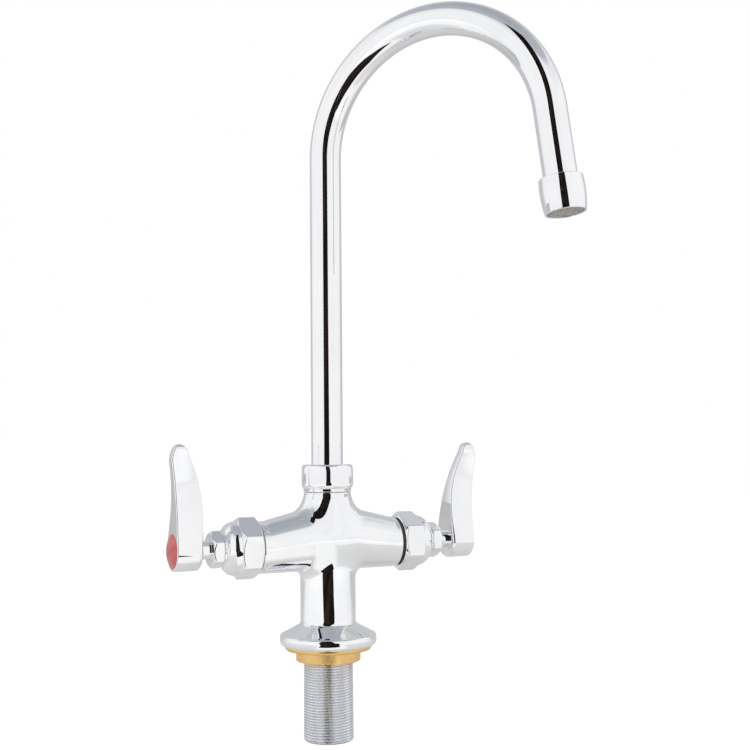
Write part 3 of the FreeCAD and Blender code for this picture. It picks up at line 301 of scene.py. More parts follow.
def swept(path, radius, segments, inner=None):
    """A round bar or pipe along points of (place, direction, up), each three numbers."""
    angle = bearings(segments)
    vertices = []
    rings = []

    def add_round(place, direction, up, reach):
        spokes = np.outer(np.cos(angle), up) + np.outer(np.sin(angle), np.cross(direction, up))
        add_ring(vertices, rings, place + reach * spokes)

    for spot in path:
        add_round(*spot, radius)
    if inner is not None:
        for spot in reversed(path):
            add_round(*spot, inner)
    else:
        for end in (path[-1], path[0]):
            add_ring(vertices, rings, [end[0]])
    return np.array(vertices), joined(rings)


def together(shapes):
    """Several shapes as one."""
    vertices = []
    faces = []
    for shape_vertices, shape_faces in shapes:
        start = len(vertices)
        vertices += [tuple(vertex) for vertex in shape_vertices]
        faces += [tuple(index + start for index in face) for face in shape_faces]
    return np.array(vertices), faces


def new_mesh(name, shape):
    vertices, faces = shape
    mesh = bpy.data.meshes.new(name)
    mesh.from_pydata([tuple(vertex) for vertex in vertices], [], [tuple(face) for face in faces])
    return mesh


def placed(name, data):
    """A new object in the scene, from a mesh, a light or a camera."""
    made = bpy.data.objects.new(name, data)
    bpy.context.scene.collection.objects.link(made)
    return made


def wear(node, material):
    """Give a CAD node this one material."""
    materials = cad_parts[node].data.materials
    materials.clear()
    materials.append(material)


def new_piece(name, shape, body, slot, material, node, place=Matrix.Identity(4), normals=None):
    """A mesh that rides on a body and stands for a CAD node; the hidden node gets its material too."""
    mesh = new_mesh(name, shape)
    mesh.transform(Matrix.Scale(MM, 4) @ place)
    made = bmesh.new()
    made.from_mesh(mesh)
    bmesh.ops.recalc_face_normals(made, faces=made.faces)
    made.to_mesh(mesh)
    made.free()
    mesh.shade_smooth()
    mesh.set_sharp_from_angle(angle=CRISP)
    if normals is not None:
        mesh.normals_split_custom_set_from_vertices([tuple(normal) for normal in normals])
    mesh.materials.append(material)
    piece = placed(name, mesh)
    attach(piece, body)
    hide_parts(node)
    wear(node, material)


# Surfaces given by a field, which is nought on the surface, less inside and more outside

SLOPE_STEP = 0.01
SETTLING_ROUNDS = 6
EVENING_ROUNDS = 4
LEAST_STEEPNESS = 0.1


def smooth_step(value):
    value = np.clip(value, 0, 1)
    return value * value * (3 - 2 * value)


def slope(field, points):
    """How steeply the field rises at each point, along each axis."""
    parts = []
    for axis in np.eye(3) * SLOPE_STEP:
        parts.append((field(points + axis) - field(points - axis)) / (2 * SLOPE_STEP))
    return np.stack(parts, axis=1)


def settle(field, points):
    """Move points straight onto the field's surface, at most a millimetre at a time."""
    for _ in range(SETTLING_ROUNDS):
        steep = slope(field, points)
        steepness = np.maximum(np.linalg.norm(steep, axis=1), LEAST_STEEPNESS)
        move = np.clip(field(points) / steepness, -1, 1)
        points = points - steep * (move / steepness)[:, None]
    return points


def field_skin(field, seeds, cell):
    """A closed, even mesh of a field's surface, started from seed solids that overlap."""
    seed = placed("seed", new_mesh("seed", together(seeds)))
    remesh = seed.modifiers.new("even", "REMESH")
    remesh.mode = "VOXEL"
    remesh.voxel_size = cell
    even = bpy.data.meshes.new_from_object(seed.evaluated_get(bpy.context.evaluated_depsgraph_get()))
    bpy.data.objects.remove(seed)
    points = np.array([vertex.co for vertex in even.vertices])
    faces = [tuple(polygon.vertices) for polygon in even.polygons]
    edges = np.array([tuple(edge.vertices) for edge in even.edges])
    bpy.data.meshes.remove(even)
    points = settle(field, points)
    for _ in range(EVENING_ROUNDS):
        total = np.zeros_like(points)
        count = np.zeros(len(points))
        for one, other in ((0, 1), (1, 0)):
            np.add.at(total, edges[:, one], points[edges[:, other]])
            np.add.at(count, edges[:, one], 1)
        points = settle(field, points + 0.5 * (total / count[:, None] - points))
    return points, faces


def close_ring(made, rim, mouth, bearing):
    """Triangles between a rim and a ring of vertices inside it, both taken round by their bearing."""
    outer = sorted({vertex for edge in rim for vertex in edge.verts}, key=bearing)
    inner = sorted(mouth, key=bearing)
    outer_turns = [bearing(vertex) for vertex in outer] + [bearing(outer[0]) + FULL_TURN]
    inner_turns = [bearing(vertex) for vertex in inner] + [bearing(inner[0]) + FULL_TURN]
    outer.append(outer[0])
    inner.append(inner[0])
    one = 0
    two = 0
    while one + two < len(outer) + len(inner) - 2:
        inner_done = two == len(inner) - 1
        outer_left = one < len(outer) - 1
        if inner_done or (outer_left and outer_turns[one + 1] <= inner_turns[two + 1]):
            made.faces.new((outer[one], outer[one + 1], inner[two]))
            one += 1
        else:
            made.faces.new((outer[one], inner[two + 1], inner[two]))
            two += 1


def bored(made, rim, point, outward, bore, segments=64):
    """Close a cut around a bore; bore lists its radius and depth at each corner, from the mouth in."""
    across = outward.orthogonal().normalized()
    aside = outward.cross(across)

    def bearing(vertex):
        arm = vertex.co - point
        return math.atan2(arm.dot(aside), arm.dot(across)) % FULL_TURN

    rings = []
    for radius, depth in bore:
        ring = []
        for turn in bearings(segments):
            spoke = across * math.cos(turn) + aside * math.sin(turn)
            ring.append(made.verts.new(point - outward * depth + spoke * radius))
        rings.append(ring)
    close_ring(made, rim, rings[0], bearing)
    for outer, inner in zip(rings, rings[1:]):
        for step in range(segments):
            made.faces.new((outer[step - 1], outer[step], inner[step], inner[step - 1]))
    made.faces.new(rings[-1])


def cut_off(shape, planes):
    """Trim a closed mesh at planes (point, outward direction, bore) and close the cuts."""
    mesh = new_mesh("trim", shape)
    made = bmesh.new()
    made.from_mesh(mesh)
    bpy.data.meshes.remove(mesh)
    for point, outward, bore in planes:
        cut = bmesh.ops.bisect_plane(
            made, geom=made.verts[:] + made.edges[:] + made.faces[:],
            plane_co=point, plane_no=outward, clear_outer=True)
        rim = [item for item in cut["geom_cut"] if isinstance(item, bmesh.types.BMEdge)]
        bored(made, rim, Vector(point), Vector(outward), bore)
    bmesh.ops.recalc_face_normals(made, faces=made.faces[:])
    made.verts.index_update()
    vertices = np.array([vertex.co for vertex in made.verts])
    faces = [tuple(vertex.index for vertex in face.verts) for face in made.faces]
    made.free()
    return vertices, faces


# Material parts

def fill_in(tree, node, inputs):
    """Set a node's inputs, each to a number, a colour or another node's output."""
    for socket, value in inputs.items():
        if isinstance(value, bpy.types.NodeSocket):
            tree.links.new(value, node.inputs[socket])
        else:
            node.inputs[socket].default_value = value


def new_node(tree, kind, inputs, **settings):
    """A shader node of a kind, with its inputs and its other settings."""
    node = tree.nodes.new("ShaderNode" + kind)
    for name, value in settings.items():
        setattr(node, name, value)
    fill_in(tree, node, inputs)
    return node


def new_material(name):
    material = bpy.data.materials.new(name)
    material.use_nodes = True
    tree = material.node_tree
    tree.nodes.clear()
    shader = new_node(tree, "BsdfPrincipled", {})
    new_node(tree, "OutputMaterial", {"Surface": shader.outputs["BSDF"]})
    return material, tree, shader


def object_place(tree, stretch=(1, 1, 1)):
    """Places in object space, in metres, times the stretch."""
    place = new_node(tree, "TexCoord", {}).outputs["Object"]
    return new_node(tree, "Mapping", {"Vector": place, "Scale": stretch}).outputs["Vector"]


def noise(tree, scale, detail=3.0, stretch=(1, 1, 1)):
    """Noise in object space; scale is in waves per metre, and a small stretch draws them out."""
    place = object_place(tree, stretch)
    return new_node(tree, "TexNoise", {"Vector": place, "Scale": scale, "Detail": detail}).outputs["Fac"]


def ranged(tree, value, low, high, start, end):
    """Map the stretch of a value from start to end to the range from low to high."""
    inputs = {"Value": value, "From Min": start, "From Max": end, "To Min": low, "To Max": high}
    return new_node(tree, "MapRange", inputs).outputs["Result"]


def uneven(tree, scale, detail, low=0, high=1, start=0.3, end=0.7):
    """A stretch of noise, which is its middle if nothing else is said, mapped to a range."""
    return ranged(tree, noise(tree, scale, detail), low, high, start, end)


def length_of(tree, vector):
    return new_node(tree, "VectorMath", {0: vector}, operation="LENGTH").outputs["Value"]


def dot(tree, one, other):
    return new_node(tree, "VectorMath", {0: one, 1: other}, operation="DOT_PRODUCT").outputs["Value"]


def mixed(tree, value, dark, light, blend="MIX"):
    """A colour between two, which are colours or other nodes' outputs."""
    inputs = {"Factor": value}
    for socket, colour in (("A", dark), ("B", light)):
        inputs[socket] = (*colour, 1) if isinstance(colour, tuple) else colour
    return new_node(tree, "Mix", inputs, data_type="RGBA", blend_type=blend).outputs["Result"]


def worn_edges(tree, radius):
    """One along edges and nought on open faces, from how much a small bevel turns the surface."""
    bevel = new_node(tree, "Bevel", {"Radius": radius}).outputs["Normal"]
    surface = new_node(tree, "NewGeometry", {}).outputs["Normal"]
    return ranged(tree, dot(tree, bevel, surface), 1.0, 0.0, 0.80, 0.99)


def finish(tree, shader, colour, roughness, bumps, metallic=0.0):
    """Link up a shader; bumps are stacked, and each is (height, distance in metres)."""
    inputs = {}
    for height, distance in bumps:
        bump = new_node(tree, "Bump", {"Height": height, "Distance": distance, **inputs})
        inputs = {"Normal": bump.outputs["Normal"]}
    fill_in(tree, shader, {"Base Color": colour, "Roughness": roughness, "Metallic": metallic, **inputs})


# Materials

def chrome(name, waves, mottle):
    """Polished plating: a cool, uneven tone, dull specks, buffing waves and hairline scratches."""
    material, tree, shader = new_material(name)
    tone = uneven(tree, 40, 4)
    colour = mixed(tree, tone, (0.89, 0.90, 0.92), (0.95, 0.95, 0.96))
    specks = uneven(tree, 900, 6, 0.012, 0.085, 0.38, 0.85)
    buffing = (noise(tree, 90, 2), waves)
    ripple = (noise(tree, 420, 2), mottle)
    scratches = (noise(tree, 1500, 2, (1, 1, 0.05)), 0.0000004)
    finish(tree, shader, colour, specks, [buffing, ripple, scratches], metallic=1.0)
    return material


def bare_metal(name, dark, light, roughness, marks, depth, stretch=(1, 1, 1)):
    """Machined metal with tool marks, a little tarnish and edges rubbed bright."""
    material, tree, shader = new_material(name)
    tarnish = uneven(tree, 160, 5)
    rubbed = tuple(min(1.0, part * 1.08) for part in light)
    colour = mixed(tree, worn_edges(tree, 0.0004), mixed(tree, tarnish, dark, light), rubbed)
    dullness = uneven(tree, 600, 4, *roughness)
    finish(tree, shader, colour, dullness, [(noise(tree, marks, 3, stretch), depth)], metallic=1.0)
    return material


def threaded_metal(name, root_colour, dark, light):
    """Plated pipe: bright crests, darker in the grooves, a little tarnish and fine marks."""
    material, tree, shader = new_material(name)
    radius = length_of(tree, object_place(tree, (1, 1, 0)))
    root = (SHANK_RADIUS - THREAD_DEPTH) * MM
    crest = (SHANK_RADIUS - THREAD_DEPTH * 0.15) * MM
    # The colour goes darker from the crests down into the thread roots
    toward_crest = ranged(tree, radius, 0, 1, root, crest)
    tarnish = uneven(tree, 160, 5)
    colour = mixed(tree, toward_crest, root_colour, mixed(tree, tarnish, dark, light))
    dullness = uneven(tree, 500, 4, 0.20, 0.32)
    finish(tree, shader, colour, dullness, [(noise(tree, 700, 2), 0.0000015)], metallic=1.0)
    return material


def dull_material(name, dark, light, roughness, grain=2500, depth=0.00001):
    """Rubber, fibre or plain plastic, with a fine grain."""
    material, tree, shader = new_material(name)
    colour = mixed(tree, uneven(tree, 300, 4), dark, light)
    dullness = uneven(tree, 700, 3, *roughness)
    finish(tree, shader, colour, dullness, [(noise(tree, grain, 2), depth)])
    return material


def glossy_plastic(name, dark, light):
    """The index buttons: moulded in one colour, with flow marks, scuffs and a paler worn rim."""
    material, tree, shader = new_material(name)
    flow = uneven(tree, 220, 4)
    pale = tuple(part + (1 - part) * 0.25 for part in light)
    colour = mixed(tree, worn_edges(tree, 0.0005), mixed(tree, flow, dark, light), pale)
    scuffs = uneven(tree, 1400, 5, 0.22, 0.42)
    fill_in(tree, shader, {"Coat Weight": 0.5, "Coat Roughness": 0.15})
    finish(tree, shader, colour, scuffs, [(noise(tree, 500, 2), 0.00001)])
    return material


casting_chrome = chrome("casting_chrome", waves=0.00003, mottle=0.0000015)
tube_chrome = chrome("tube_chrome", waves=0.00001, mottle=0.0000003)
nut_chrome = chrome("nut_chrome", waves=0.000012, mottle=0.0000035)
lever_chrome = chrome("lever_chrome", waves=0.00002, mottle=0.000001)
shank_nickel = threaded_metal("shank_nickel", (0.62, 0.64, 0.67), (0.88, 0.90, 0.93), (0.97, 0.98, 1.0))
washer_brass = bare_metal("washer_brass", (0.84, 0.52, 0.17), (0.94, 0.64, 0.26), (0.22, 0.36), 700, 0.00002,
                          (1, 1, 0.06))
nut_brass = bare_metal("nut_brass", (0.86, 0.55, 0.21), (0.97, 0.68, 0.31), (0.28, 0.42), 1100, 0.00005,
                       (1, 1, 0.04))
inner_brass = bare_metal("inner_brass", (0.62, 0.46, 0.22), (0.76, 0.58, 0.30), (0.3, 0.5), 700, 0.00002)
screw_steel = bare_metal("screw_steel", (0.48, 0.48, 0.48), (0.62, 0.62, 0.61), (0.25, 0.4), 900, 0.00001)
mesh_steel = bare_metal("mesh_steel", (0.50, 0.48, 0.45), (0.72, 0.69, 0.66), (0.35, 0.5), 2500, 0.00001)
black_rubber = dull_material("black_rubber", (0.02, 0.02, 0.02), (0.05, 0.05, 0.05), (0.5, 0.7))
grey_plastic = dull_material("grey_plastic", (0.36, 0.34, 0.32), (0.46, 0.44, 0.42), (0.4, 0.55))
white_plastic = dull_material("white_plastic", (0.78, 0.78, 0.76), (0.86, 0.86, 0.84), (0.35, 0.5))
dark_fibre = dull_material("dark_fibre", (0.035, 0.030, 0.026), (0.075, 0.062, 0.052), (0.7, 0.9),
                           grain=900, depth=0.00004)
INDEX_PLASTIC = {
    "hot": glossy_plastic("hot_index_red", (0.50, 0.06, 0.065), (0.66, 0.12, 0.12)),
    "cold": glossy_plastic("cold_index_blue", (0.04, 0.12, 0.42), (0.08, 0.20, 0.58)),
}


# Body casting

SKIN_BOTTOM = 18.0
SKIN_TOP = NECK_TOP - 1.0
SKIN_REACH = ARM_REACH - 1.5
SKIN_CELL = 0.8
SKIN_SIDES = 64
SEAM = 0.02
SOCKET_RADIUS = SHANK_SPIGOT_RADIUS + 0.05
SOCKET_DEPTH = 0.5
CAST = ("faucet_body", "chrome", casting_chrome, "body_casting")


def casting_field(points):
    """Trunk and arms joined by roundings, large above the arms and small below."""
    x, y, z = points.T
    column_top = HANDLE_HEIGHT - ARM_RADIUS / 2
    neck_bottom = HANDLE_HEIGHT + ARM_RADIUS
    slimming = smooth_step((z - column_top) / (neck_bottom - column_top))
    trunk = np.hypot(x, y) - (COLUMN_RADIUS + (NECK_RADIUS - COLUMN_RADIUS) * slimming)
    reach = np.maximum(np.abs(x), NECK_RADIUS)
    nearness = np.maximum(1 - reach / SKIN_REACH, 0)
    rise = ARM_RISE * nearness
    middle = HANDLE_HEIGHT + rise / 2
    depth = ARM_RADIUS + ARM_SWELL * nearness
    arms = (np.hypot(y / depth, (z - middle) / (ARM_RADIUS + rise / 2)) - 1) * ARM_RADIUS
    above = smooth_step((z - HANDLE_HEIGHT) / ARM_RADIUS + 0.5)
    blend = LOWER_BLEND + (UPPER_BLEND - LOWER_BLEND) * above
    near_trunk = np.maximum(blend - trunk, 0)
    near_arms = np.maximum(blend - arms, 0)
    return np.maximum(blend, np.minimum(trunk, arms)) - np.hypot(near_trunk, near_arms)


def make_casting_skin():
    """The cross of column, neck and arms, with its cast roundings."""
    spare = 5.0
    low = SKIN_BOTTOM - spare
    high = SKIN_TOP + spare
    wide = SKIN_REACH + spare
    trunk = turned([(low, 0), (low, COLUMN_RADIUS), (high, NECK_RADIUS), (high, 0)], "Z", SKIN_SIDES)
    arms = turned([(-wide, 0), (-wide, ARM_RADIUS), (wide, ARM_RADIUS), (wide, 0)], "X", SKIN_SIDES)
    arms = (arms[0] + np.array((0, 0, HANDLE_HEIGHT)), arms[1])
    skin = field_skin(casting_field, [trunk, arms], SKIN_CELL)
    step_depth = SKIN_REACH - CHAMBER_STEP
    chamber = [
        (CHAMBER_RADIUS, 0), (CHAMBER_RADIUS, step_depth), (VALVE_RADIUS, step_depth),
        (VALVE_RADIUS, SKIN_REACH - VALVE_START),
    ]
    vertices, faces = cut_off(skin, [
        ((0, 0, SKIN_BOTTOM), (0, 0, -1), [(SOCKET_RADIUS, 0), (SOCKET_RADIUS, SOCKET_DEPTH)]),
        ((0, 0, SKIN_TOP), (0, 0, 1), [(MIXING_RADIUS, 0), (MIXING_RADIUS, SKIN_TOP - SWIVEL_FLOOR)]),
        ((SKIN_REACH, 0, HANDLE_HEIGHT), (1, 0, 0), chamber),
        ((-SKIN_REACH, 0, HANDLE_HEIGHT), (-1, 0, 0), chamber),
    ])
    normals = slope(casting_field, vertices)
    normals /= np.linalg.norm(normals, axis=1)[:, None]
    # A vertex well inside the field lies in a bore; nought leaves it the mesh's own normal
    normals[casting_field(vertices) < -1.0] = 0.0
    new_piece("casting_skin", (vertices, faces), *CAST, normals=normals)


def make_casting_flange():
    shoulder = FLANGE_RADIUS - RIM_ROUNDING * 0.7
    outline = rounded([
        (0.0, SOCKET_RADIUS, 0),
        (0.0, FLANGE_RADIUS, RIM_ROUNDING),
        (FLANGE_RIM - 0.6, FLANGE_RADIUS, RIM_ROUNDING),
        (FLANGE_RIM + 0.4, shoulder - 0.6, 1.2),
        (CONE_TOP, CONE_TOP_RADIUS, 1.0),
        (CONE_TOP + CONE_TOP_RADIUS - COLUMN_RADIUS, COLUMN_RADIUS, 1.6),
        (SKIN_BOTTOM + SEAM, COLUMN_RADIUS, 0),
        (SKIN_BOTTOM + SEAM, SOCKET_RADIUS, 0),
    ])
    new_piece("casting_flange", turned(dense(outline, 2.0), "Z", 192), *CAST)


def make_casting_ends():
    """The neck's shoulder and threaded spigot, and the mouths of both arms."""
    start = SKIN_TOP - SEAM
    spigot_top = NECK_TOP + SPIGOT_HEIGHT
    neck = rounded([
        (start, MIXING_RADIUS, 0), (start, NECK_RADIUS, 0), (NECK_TOP, NECK_RADIUS, 0.4),
        (NECK_TOP, SPIGOT_RADIUS, 0.2), (spigot_top, SPIGOT_RADIUS, 0.4), (spigot_top, MIXING_RADIUS, 0.2),
    ])
    new_piece("casting_neck_end", turned(neck, "Z"), *CAST)
    start = SKIN_REACH - SEAM
    for side in SIDES:
        end = MOUTH_REACH[side]
        mouth = rounded([
            (start, CHAMBER_RADIUS, 0), (start, ARM_RADIUS, 0), (end, ARM_RADIUS, 0.5),
            (end, CHAMBER_RADIUS, 0.3),
        ])
        new_piece(f"casting_{side}_mouth", turned(mouth, "X"), *CAST, side_matrix(side))


# Shank and what holds it

def with_thread(end):
    """Cuts the thread up to a height, as a rule for turned(): flat crests and roots, sloped flanks."""
    flank = 1.25
    crest = 0.12

    def rule(angle, along, reach):
        if along > end:
            return reach
        turn = (along / THREAD_PITCH - angle / FULL_TURN) % 1.0
        from_crest = 1 - 2 * np.abs(turn - 0.5)
        return np.minimum(reach, SHANK_RADIUS - THREAD_DEPTH * np.clip(flank * from_crest - crest, 0, 1))
    return rule


def make_shank():
    """A pipe with a real helical thread, chamfered at its end and smooth inside the lock nut."""
    rows_per_turn = 9
    end_edge = 0.1
    chamfer = 0.9
    bore_chamfer = 0.3
    thread_top = -(WASHER_THICKNESS + LOCK_NUT_HEIGHT)
    threaded = SHANK_LENGTH + thread_top
    rows = int(threaded / THREAD_PITCH * rows_per_turn)
    outline = [
        (-SHANK_LENGTH, SHANK_BORE + bore_chamfer), (-SHANK_LENGTH, SHANK_RADIUS - THREAD_DEPTH - 0.2),
    ]
    for row in range(rows + 1):
        height = -SHANK_LENGTH + end_edge + (threaded - end_edge) * row / rows
        outline.append((height, SHANK_RADIUS - max(0.0, chamfer - height - SHANK_LENGTH)))
    outline += [
        (thread_top + 0.05, SHANK_SMOOTH_RADIUS), (-SEAM, SHANK_SMOOTH_RADIUS), (-SEAM, SHANK_SPIGOT_RADIUS),
        (SHANK_SPIGOT_HEIGHT, SHANK_SPIGOT_RADIUS), (SHANK_SPIGOT_HEIGHT, SHANK_BORE),
        (-SHANK_LENGTH + bore_chamfer, SHANK_BORE),
    ]
    new_piece("shank_pipe", turned(outline, "Z", rule=with_thread(thread_top + 0.01)), "faucet_body",
              "nickel_shank", shank_nickel, "threaded_shank")


def make_deck_washer():
    outline = rounded([
        (-WASHER_THICKNESS, WASHER_HOLE, 0.2), (-WASHER_THICKNESS, WASHER_RADIUS - 0.5, 1.0),
        (-1.2, WASHER_RADIUS, 1.0), (0.0, WASHER_RADIUS, 0.3), (0.0, WASHER_HOLE, 0.2),
    ])
    new_piece("brass_ring", turned(dense(outline, 2.0), "Z", 192), "faucet_body", "brass_washer",
              washer_brass, "deck_washer")


def make_lock_nut():
    """A ring with three notches in its rim."""
    gap = 0.05
    top = -WASHER_THICKNESS - gap
    bottom = top - LOCK_NUT_HEIGHT + gap
    outline = rounded([
        (bottom, LOCK_NUT_HOLE, 0.3), (bottom, LOCK_NUT_RADIUS, 0.6), (top, LOCK_NUT_RADIUS, 0.3),
        (top, LOCK_NUT_HOLE, 0.2),
    ])
    rule = with_notches(3, NOTCH_WIDTH, NOTCH_DEPTH, LOCK_NUT_RADIUS, NOTCH_TURN, bottom, top)
    new_piece("brass_lock_ring", turned(dense(outline, 0.8), "Z", 480, rule), "faucet_body", "brass_nut",
              nut_brass, "lock_nut")


# Gooseneck

def make_swivel_nut():
    """A barrel hexagon: its corners swell out between the lip and the top."""
    bottom = NECK_TOP + 0.3
    top = bottom + SWIVEL_HEIGHT
    lip_height = 1.7
    roof = 2.9
    swell = 6.5
    thread = SPIGOT_RADIUS + 0.05
    hole = TUBE_RADIUS + 0.3
    hexagon_bottom = bottom + lip_height
    corner_radius = SWIVEL_FLATS / math.sqrt(3)
    corner_height = swell * 0.7
    outline = rounded([
        (bottom, thread, 0.2), (bottom, SWIVEL_LIP, 0.4),
        *bulge((hexagon_bottom, SWIVEL_LIP), (hexagon_bottom + corner_height, corner_radius), swell),
        *bulge((top - corner_height, corner_radius), (top, SWIVEL_LIP), swell),
        (top, hole, 0.4), (top - roof, hole, 0.2), (top - roof, thread, 0.2),
    ])
    rule = with_flats(SWIVEL_FLATS, SWIVEL_NUT_TURN, hexagon_bottom, top, softness=1.6, sharpness=9)
    new_piece("swivel_hexagon", turned(dense(outline, 0.35), "Z", 240, rule), "faucet_body", "chrome",
              nut_chrome, "swivel_nut")


def tube_path(longest):
    """The tube's middle line: up the riser, round the bend and down the tail."""
    rise = BEND_START - TUBE_BOTTOM
    sweep = math.pi - OUTLET_LEAN
    tail = TAIL_LENGTH - TUBE_END

    def steps(length):
        """Even steps along a stretch, as shares of it, up to its end but without it."""
        count = math.ceil(length / longest)
        return [step / count for step in range(count)]

    def on_bend(turn, heading):
        return (BEND_RADIUS * (1 + math.cos(turn)), BEND_START + BEND_RADIUS * math.sin(turn), heading)

    spots = [(0.0, TUBE_BOTTOM + rise * share, QUARTER_TURN) for share in steps(rise)]
    for share in steps(BEND_RADIUS * sweep):
        turn = math.pi - sweep * share
        spots.append(on_bend(turn, turn - QUARTER_TURN))
    end_x, end_z, heading = on_bend(OUTLET_LEAN, OUTLET_LEAN - QUARTER_TURN)
    for share in [*steps(tail), 1.0]:
        run = tail * share
        spots.append((end_x + run * math.cos(heading), end_z + run * math.sin(heading), heading))
    up = np.array((0.0, 1.0, 0.0))
    return [(np.array((x, 0.0, z)), np.array((math.cos(heading), 0.0, math.sin(heading))), up)
            for x, z, heading in spots]


def make_tube():
    shape = swept(tube_path(2.5), TUBE_RADIUS, 128, inner=TUBE_RADIUS - TUBE_WALL)
    new_piece("gooseneck_bend", shape, "gooseneck", "chrome", tube_chrome, "gooseneck_tube",
              Matrix.Rotation(-SWING, 4, "Z"))


def make_housing():
    """The aerator's barrel: slimmer at the outlet, thin-walled there, rounded where the tube enters."""
    mouth = 9.8
    seat = 6.5
    barrel = 60.0
    outline = rounded([
        (0.0, mouth, 0.2), (0.0, HOUSING_FOOT, 0.5),
        *bulge((0.6, HOUSING_FOOT + 0.08), (HOUSING_LENGTH - 1.0, HOUSING_RADIUS), barrel),
        (HOUSING_LENGTH, HOUSING_RADIUS, 0.8), (HOUSING_LENGTH, OUTLET_THREAD, 0.3),
        (seat, OUTLET_THREAD, 0.2), (seat, mouth, 0.2),
    ])
    new_piece("aerator_barrel", turned(dense(outline, 1.0), "Z"), "gooseneck", "chrome", nut_chrome,
              "aerator_housing", outlet_matrix())


def make_screen():
    """A woven wire cloth in a round rim; wires pass over and under each other."""
    wire = 0.13
    pitch = 0.82
    level = 0.9
    rim_inside = SCREEN_RADIUS - 0.45
    rim_bottom = level - 0.3
    rim_top = level + 0.4
    rim = rounded([(rim_bottom, rim_inside, 0.1), (rim_bottom, SCREEN_RADIUS, 0.2),
                   (rim_top, SCREEN_RADIUS, 0.2), (rim_top, rim_inside, 0.1)])
    shapes = [turned(rim, "Z", 96)]
    up = np.array((0.0, 0.0, 1.0))
    count = int((SCREEN_RADIUS - 0.6) / pitch)
    for across in (False, True):
        way = np.array((1.0, 0.0, 0.0)) if across else np.array((0.0, 1.0, 0.0))
        for row in range(-count, count + 1):
            offset = row * pitch
            reach = math.sqrt((SCREEN_RADIUS - 0.3) ** 2 - offset ** 2)
            steps = max(4, math.ceil(2 * reach / (pitch / 4)))
            path = []
            for step in range(steps + 1):
                run = -reach + 2 * reach * step / steps
                phase = math.pi * (run / pitch + row + across)
                height = level + wire * math.cos(phase)
                spot = (run, offset, height) if across else (offset, run, height)
                path.append((np.array(spot), way, up))
            shapes.append(swept(path, wire, 6))
    new_piece("outlet_wire_cloth", together(shapes), "gooseneck", "steel_mesh", mesh_steel,
              "aerator_screen", outlet_matrix())


# Bonnets and packing nuts

def make_bonnet(side):
    """Hexagon, domed shoulder and collar, with its thread inside the arm."""
    thread_start = 30.8
    thread = BONNET_THREAD - 0.05
    bore = 9.0
    face_radius = 14.3
    dome_start = BONNET_HEXAGON_END + 1.7
    dome_end = dome_start + 7.0
    dome_radius = 14.7
    dome_bulge = 7.0
    collar = 9.3
    gland_bore = 8.05
    gland_floor = BONNET_END - 10.0
    corner_radius = BONNET_FLATS / math.sqrt(3)
    outline = rounded([
        (thread_start, bore, 0.2), (thread_start, thread, 0.4),
        (BONNET_FACE, thread, 0.1), (BONNET_FACE, face_radius, 0.4),
        (BONNET_HEXAGON_START, corner_radius, 0.6), (BONNET_HEXAGON_END, corner_radius, 0.5),
        (dome_start, dome_radius, 0.3),
        *bulge((dome_start + 0.3, dome_radius - 0.05), (dome_end, collar + 0.4), dome_bulge)[1:],
        (dome_end, collar, 0.2), (BONNET_END, collar, 0.4),
        (BONNET_END, gland_bore, 0.2), (gland_floor, gland_bore, 0.2), (gland_floor, bore, 0.2),
    ])
    rule = with_flats(BONNET_FLATS, BONNET_TURN[side], BONNET_FACE + 0.01, dome_start + 0.1)
    new_piece(f"{side}_bonnet_shell", turned(dense(outline, 0.35), "X", 240, rule), "faucet_body", "chrome",
              nut_chrome, f"{side}_bonnet", side_matrix(side))


def make_bonnet_washer(side):
    """The dark ring between an arm's mouth and its bonnet."""
    gap = 0.03
    start = MOUTH_REACH[side] + gap
    end = BONNET_FACE - gap
    hole = BONNET_THREAD + 0.05
    radius = 13.6
    outline = rounded([(start, hole, 0.1), (start, radius, 0.1), (end, radius, 0.1), (end, hole, 0.1)])
    new_piece(f"{side}_fibre_ring", turned(outline, "X"), "faucet_body", "fibre_washer", dark_fibre,
              f"{side}_bonnet_washer", side_matrix(side))


def make_packing_nut(side):
    """A small hexagon with a chamfered end, and its thread inside the bonnet."""
    corner_radius = GLAND_FLATS / math.sqrt(3)
    bore = SPINDLE_RADIUS + 0.07
    thread = 8.0
    thread_start = GLAND_FACE - 6.5
    chamfer = 1.6
    end = GLAND_FACE + GLAND_HEAD
    outline = rounded([
        (thread_start, bore, 0.2), (thread_start, thread, 0.3), (GLAND_FACE, thread, 0.1),
        (GLAND_FACE, GLAND_FLATS / 2, 0.2), (GLAND_FACE + 0.55, corner_radius, 0.3),
        (end - chamfer, corner_radius, 0.5), (end, corner_radius - chamfer, 0.4), (end, bore, 0.3),
    ])
    rule = with_flats(GLAND_FLATS, BONNET_TURN[side], GLAND_FACE + 0.01, end + 0.1, softness=0.4)
    new_piece(f"{side}_gland_hexagon", turned(dense(outline, 0.3), "X", 192, rule), "faucet_body", "chrome",
              nut_chrome, f"{side}_packing_nut", side_matrix(side))


# Levers

# Heights over the handle's axis, and half the lever's thickness there
LEVER_HALVES = ((-15.0, 14.2), (0.0, HUB_RADIUS), (15.0, 7.4), (28.0, 4.4), (44.0, 3.1), (72.0, 2.4))
LEVER_TIP_ROUNDING = 2.2
BLADE_FOOT = 22.0
FLARE_START = 12.0
TIP_WIDTH = 9.0
TIP_OUTER = HUB_END + LEVER_FLARE
TIP_INNER = TIP_OUTER - TIP_WIDTH
TIP_TOP = TIP_OUTER - TIP_WIDTH / 2
TIP_INNER_HEIGHT = LEVER_LENGTH - 5.5
TIP_OUTER_HEIGHT = LEVER_LENGTH - 9.0
INNER_HOLLOW = 72.0
OUTER_HOLLOW = 200.0


